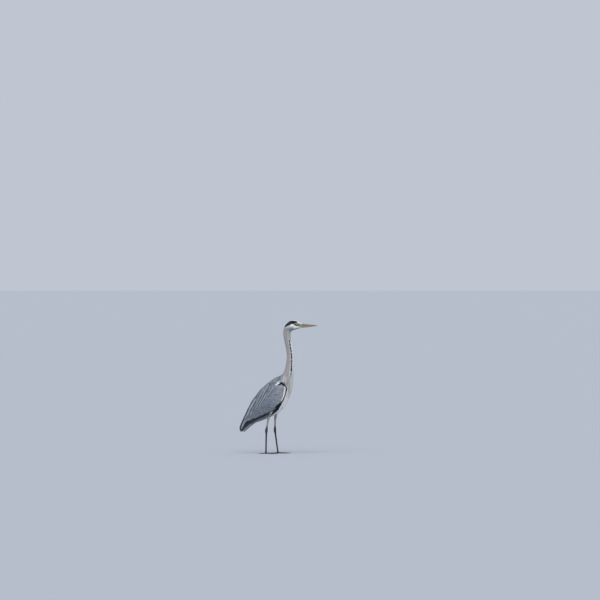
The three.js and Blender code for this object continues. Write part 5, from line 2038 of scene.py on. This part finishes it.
@dataclass
class ScapularCoat:
    """The shoulder's feathers, the silvery plumes that hang from them over the wing, and the bend's marks."""

    side: int

    def cover(self) -> Part:
        """Overlapping feathers from the back down over the wing's top, which lengthen towards the rear."""
        return Tract(
            DRAPE_FORM[self.side], Cut.COVERT, (-200, 150), (-120, 60), ((-200, 7), (-60, 11), (150, 14)),
            ((-200, 5.5), (-60, 7.5), (150, 8)), ((-200, 24), (-130, 36), (-40, 52), (150, 62)),
            ((-200, 4.6), (-60, 7.4), (150, 8.2)), paint_scapulars, 162 + self.side, toward=1,
            sink=2.0, lift=2.0, arch=0.7, camber=0.14, edge=Tone.SILVER, edge_share=0.4,
            variation=0.12, ridge=0.3, scatter=0.07, ruffle=0.05, shade=0.35,
            keep=lambda point, u, v: inside(SCAPULAR_REACH, side_view(point)) & (np.abs(point[..., 1]) > 9),
            end_keep=lambda tip: inside(WING_REACH, side_view(tip)),
        ).grow()

    def ridge(self) -> Part:
        """Feathers along the shoulder's upper edge, which lie back and outwards over the plumes' roots."""
        return Tract(
            SCAPULAR_FORM[self.side], Cut.COVERT, (0.1, 8.7), (0.06, 0.42), 9, 4.2,
            ((0, 40), (6, 50), (9, 34)), ((0, 4.8), (6, 5), (9, 4)),
            paint_scapulars, 168 + self.side, toward=1, sink=1.5,
            lift=((0, 0.2), (1.5, 0.8), (9, 1.0)), arch=0.5, camber=0.14, edge=Tone.SILVER,
            edge_share=0.4, variation=0.12, ridge=0.3, scatter=0.12, ruffle=0.07, shade=0.35,
            turn=lambda u, v: 0.3 + 0.35 * v,
        ).grow()

    def plumes(self) -> Part:
        """Slim pointed plumes, which hang from the shoulder and the back across the wing."""
        return Tract(
            DRAPE_FORM[self.side], Cut.PLUME, (-150, 140), (-120, 40), 15, 7.5,
            ((-150, 80), (-60, 128), (60, 118), (140, 84)), 3.8, paint_plumes, 163 + self.side, toward=1,
            sink=2.8, lift=3.0, arch=1.5, camber=0.18, ruffle=0.05, edge=Tone.SILVER,
            edge_share=0.2, variation=0.09, thickness=0.2, shade=0.15, scatter=0.3, own_share=0.3,
            keep=lambda point, u, v: (
                inside(SCAPULAR_REACH, side_view(point)) & (np.abs(point[..., 1]) > WING_OFF)
                & (point[..., 0] < -18)
            ),
            end_keep=lambda tip: inside(WING_REACH, side_view(tip)),
        ).grow()

    def strength(self, place: Array) -> Array:
        """How far inside the bend's marks a place lies."""
        marks = (Band.SHOULDER, Band.SHOULDER_SPOT, Band.BREAST_LINE, Band.WING_EDGE)
        return np.max([band.depth(place) for band in marks], axis=0)

    def marks(self) -> Part:
        """Small close feathers: the black patch, the white spot, the white edge and painted shadow by it."""
        return Tract(
            DRAPE_FORM[self.side], Cut.CONTOUR, (-180, 10), (20, 150), 3.4, 2.7, 17, 2.2,
            lambda point, u, v: shoulder_marks(paint_wing(point), point), 163, toward=1,
            sink=4.5, lift=2.8, arch=0.3, camber=0.06, ruffle=0.05,
            own_share=0.0, edge_share=0.05, variation=0.04, thickness=0.15, shade=0.1,
            keep=lambda point, u, v: self.strength(point) > -2.5,
            end_keep=lambda tip: self.strength(tip) > 0.12,
        ).grow()

    def build(self) -> None:
        """Makes this shoulder's pieces."""
        name = SIDE_NAME[self.side]
        make_piece(f"scapular_coat_{name}", join([self.cover(), self.ridge()]), CONTOUR_FEATHER, "plumes")
        make_piece(f"scapular_plumes_{name}", self.plumes(), PLUME_FEATHER, "plumes")
        make_piece(f"shoulder_marks_{name}", self.marks(), CONTOUR_FEATHER, "wing_feathers")


@dataclass
class TailCoat:
    """Twelve tail feathers in a shallow fan, with coverts over and under their roots."""

    quills: int = 12
    breadth: float = 9.5

    def fan(self, middle: float, height: float) -> Part:
        """Tail feathers on the upper or under side: each runs straight back at its own v.

        Args:
            middle: v of the side's middle.
            height: how far the middle feather stands over the form.

        Returns:
            The feathers.
        """
        spread_v = np.linspace(-1, 1, self.quills)
        v0 = middle + spread_v[:, None] * 1.25
        s = Cut.FLIGHT.stations[None]
        u = 0.1 + (4.75 - 0.35 * np.abs(spread_v[:, None])) * s
        point, normal, _, _ = TAIL_FORM.measure(u, np.broadcast_to(v0, u.shape))
        stack = height * (1 - np.abs(spread_v))[:, None]
        shaft = point + normal * (stack - 0.8)[..., None]
        lay = Lay(
            run_length(shaft), self.breadth, 0, 0, 0, 0, camber=0.1, thickness=0.5, ridge=0.4, shade=0
        )
        colour = Tone.ASH.rgb * (1 + 0.1 * np.sin(np.arange(self.quills) * 2.2))[:, None]
        edges = blend(colour, Tone.SILVER.rgb, np.full(self.quills, 0.3))
        part = vanes(shaft, normal, lay, Cut.FLIGHT, colour, edges, TAIL_FORM.unwrap(u[:, 0], v0[:, 0]))
        # painted shade along the tail's lower edge
        part.colours = vent_shade_line(part.colours, part.points)
        return part

    def coverts(self, middle: float, tone: Tone, seed: int, lift: float, arch: float) -> Part:
        """Coverts over the roots of the tail feathers."""
        return Tract(
            TAIL_FORM, Cut.CONTOUR, (0.0, 2.6), (middle - 1.4, middle + 1.4), 10, 7, 46, 6.5,
            lambda point, u, v: vent_shade_line(tone.rgb, point), seed, toward=1, sink=1.2, lift=lift,
            arch=arch, edge_share=0.12,
        ).grow()

    def build(self) -> None:
        """Makes the tail's pieces."""
        upper, lower = math.pi / 2, 1.5 * math.pi
        fans = join([self.fan(upper, 1.2), self.fan(lower, 0.6)])
        make_piece("tail_quills", fans, FLIGHT_FEATHER, "tail_feathers")
        coverts = join([
            self.coverts(upper, Tone.ASH, 171, 1.8, 1.0), self.coverts(lower, Tone.SILVER, 172, 2.6, 1.4)
        ])
        make_piece("tail_coverts", coverts, CONTOUR_FEATHER, "tail_feathers")


# ---------- eyes and claws
def build_hard_parts() -> None:
    """Makes the eyes and the claws, which stay pieces of their own."""
    eyes = Eyes()
    for side in (RIGHT, LEFT):
        name = SIDE_NAME[side]
        make_piece(f"eyeball_{name}", eyes.ball(side), WET_EYE, "eye", f"eye_{name}")
        foot = Foot(side)
        nodes = [f"claw_{toe}_{name}" for toe in foot.toes]
        claws = join([foot.claw(toe) for toe in foot.toes])
        make_piece(f"claws_{name}", claws, CLAW_HORN, "claw_horn", *nodes)


# ---------- studio
@dataclass
class Studio:
    """A plain pale floor, soft light from above and in front, and the camera."""

    camera_at: tuple[float, float, float] = (0.1535, -30.0, 1.26)
    aim_at: tuple[float, float, float] = (0.1535, 0.0, 1.106)
    lens: float = 250.0
    floor_half: float = 400.0
    floor_colour: str = "#abb0b7"
    sky_colour: str = "#bfc5d1"
    sky_strength: float = 1.0
    sun_strength: float = 2.6
    sun_angle: float = 70.0  # degrees of the soft source
    sun_turn: tuple[float, float, float] = (42.0, 0.0, -18.0)  # degrees

    def floor(self) -> None:
        """A wide level sheet, as four corners."""
        mesh = bpy.data.meshes.new("floor")
        half = self.floor_half
        corners = [(-half, -half, 0), (half, -half, 0), (half, half, 0), (-half, half, 0)]
        mesh.from_pydata(corners, [], [(0, 1, 2, 3)])
        # Matt painted board: an even pale tone with no gloss.
        board = bpy.data.materials.new("painted_board")
        board.use_nodes = True
        feed(board.node_tree, board.node_tree.nodes["Principled BSDF"], {
            "Base Color": (*linear(self.floor_colour), 1), "Roughness": 0.95, "Specular IOR Level": 0.1,
        })
        mesh.materials.append(board)
        add_object("floor", mesh)

    def light(self) -> None:
        """An even sky and one very soft sun."""
        world = bpy.data.worlds.new("soft_sky")
        world.use_nodes = True
        feed(world.node_tree, world.node_tree.nodes["Background"], {
            "Color": (*linear(self.sky_colour), 1), "Strength": self.sky_strength,
        })
        bpy.context.scene.world = world
        data = bpy.data.lights.new("soft_sun", "SUN")
        data.energy = self.sun_strength
        data.angle = math.radians(self.sun_angle)
        add_object("soft_sun", data).rotation_euler = [math.radians(turn) for turn in self.sun_turn]

    def camera(self) -> None:
        """A long lens from far in front of the bird's right side."""
        data = bpy.data.cameras.new("camera")
        data.lens = self.lens
        data.sensor_width = 36
        data.clip_end = 2000
        camera = add_object("camera", data)
        camera.location = self.camera_at
        down = math.atan2(self.camera_at[2] - self.aim_at[2], self.aim_at[1] - self.camera_at[1])
        camera.rotation_euler = (math.pi / 2 - down, 0, 0)
        bpy.context.scene.camera = camera

    def build(self) -> None:
        """Sets up floor, light, camera and a plain view transform."""
        self.floor()
        self.light()
        self.camera()
        bpy.context.scene.view_settings.view_transform = "Standard"


def main() -> None:
    """Builds the studio and the bird."""
    logging.basicConfig(level=logging.INFO, format="%(message)s")
    Studio().build()
    Skin().build()
    Bill().build()
    build_hard_parts()
    HeadCoat().build()
    NeckCoat().build()
    BodyCoat().build()
    BreastPlumes().build()
    TailCoat().build()
    for side in (RIGHT, LEFT):
        WingCoat(side).build()
        ScapularCoat(side).build()


if __name__ == "__main__":
    main()
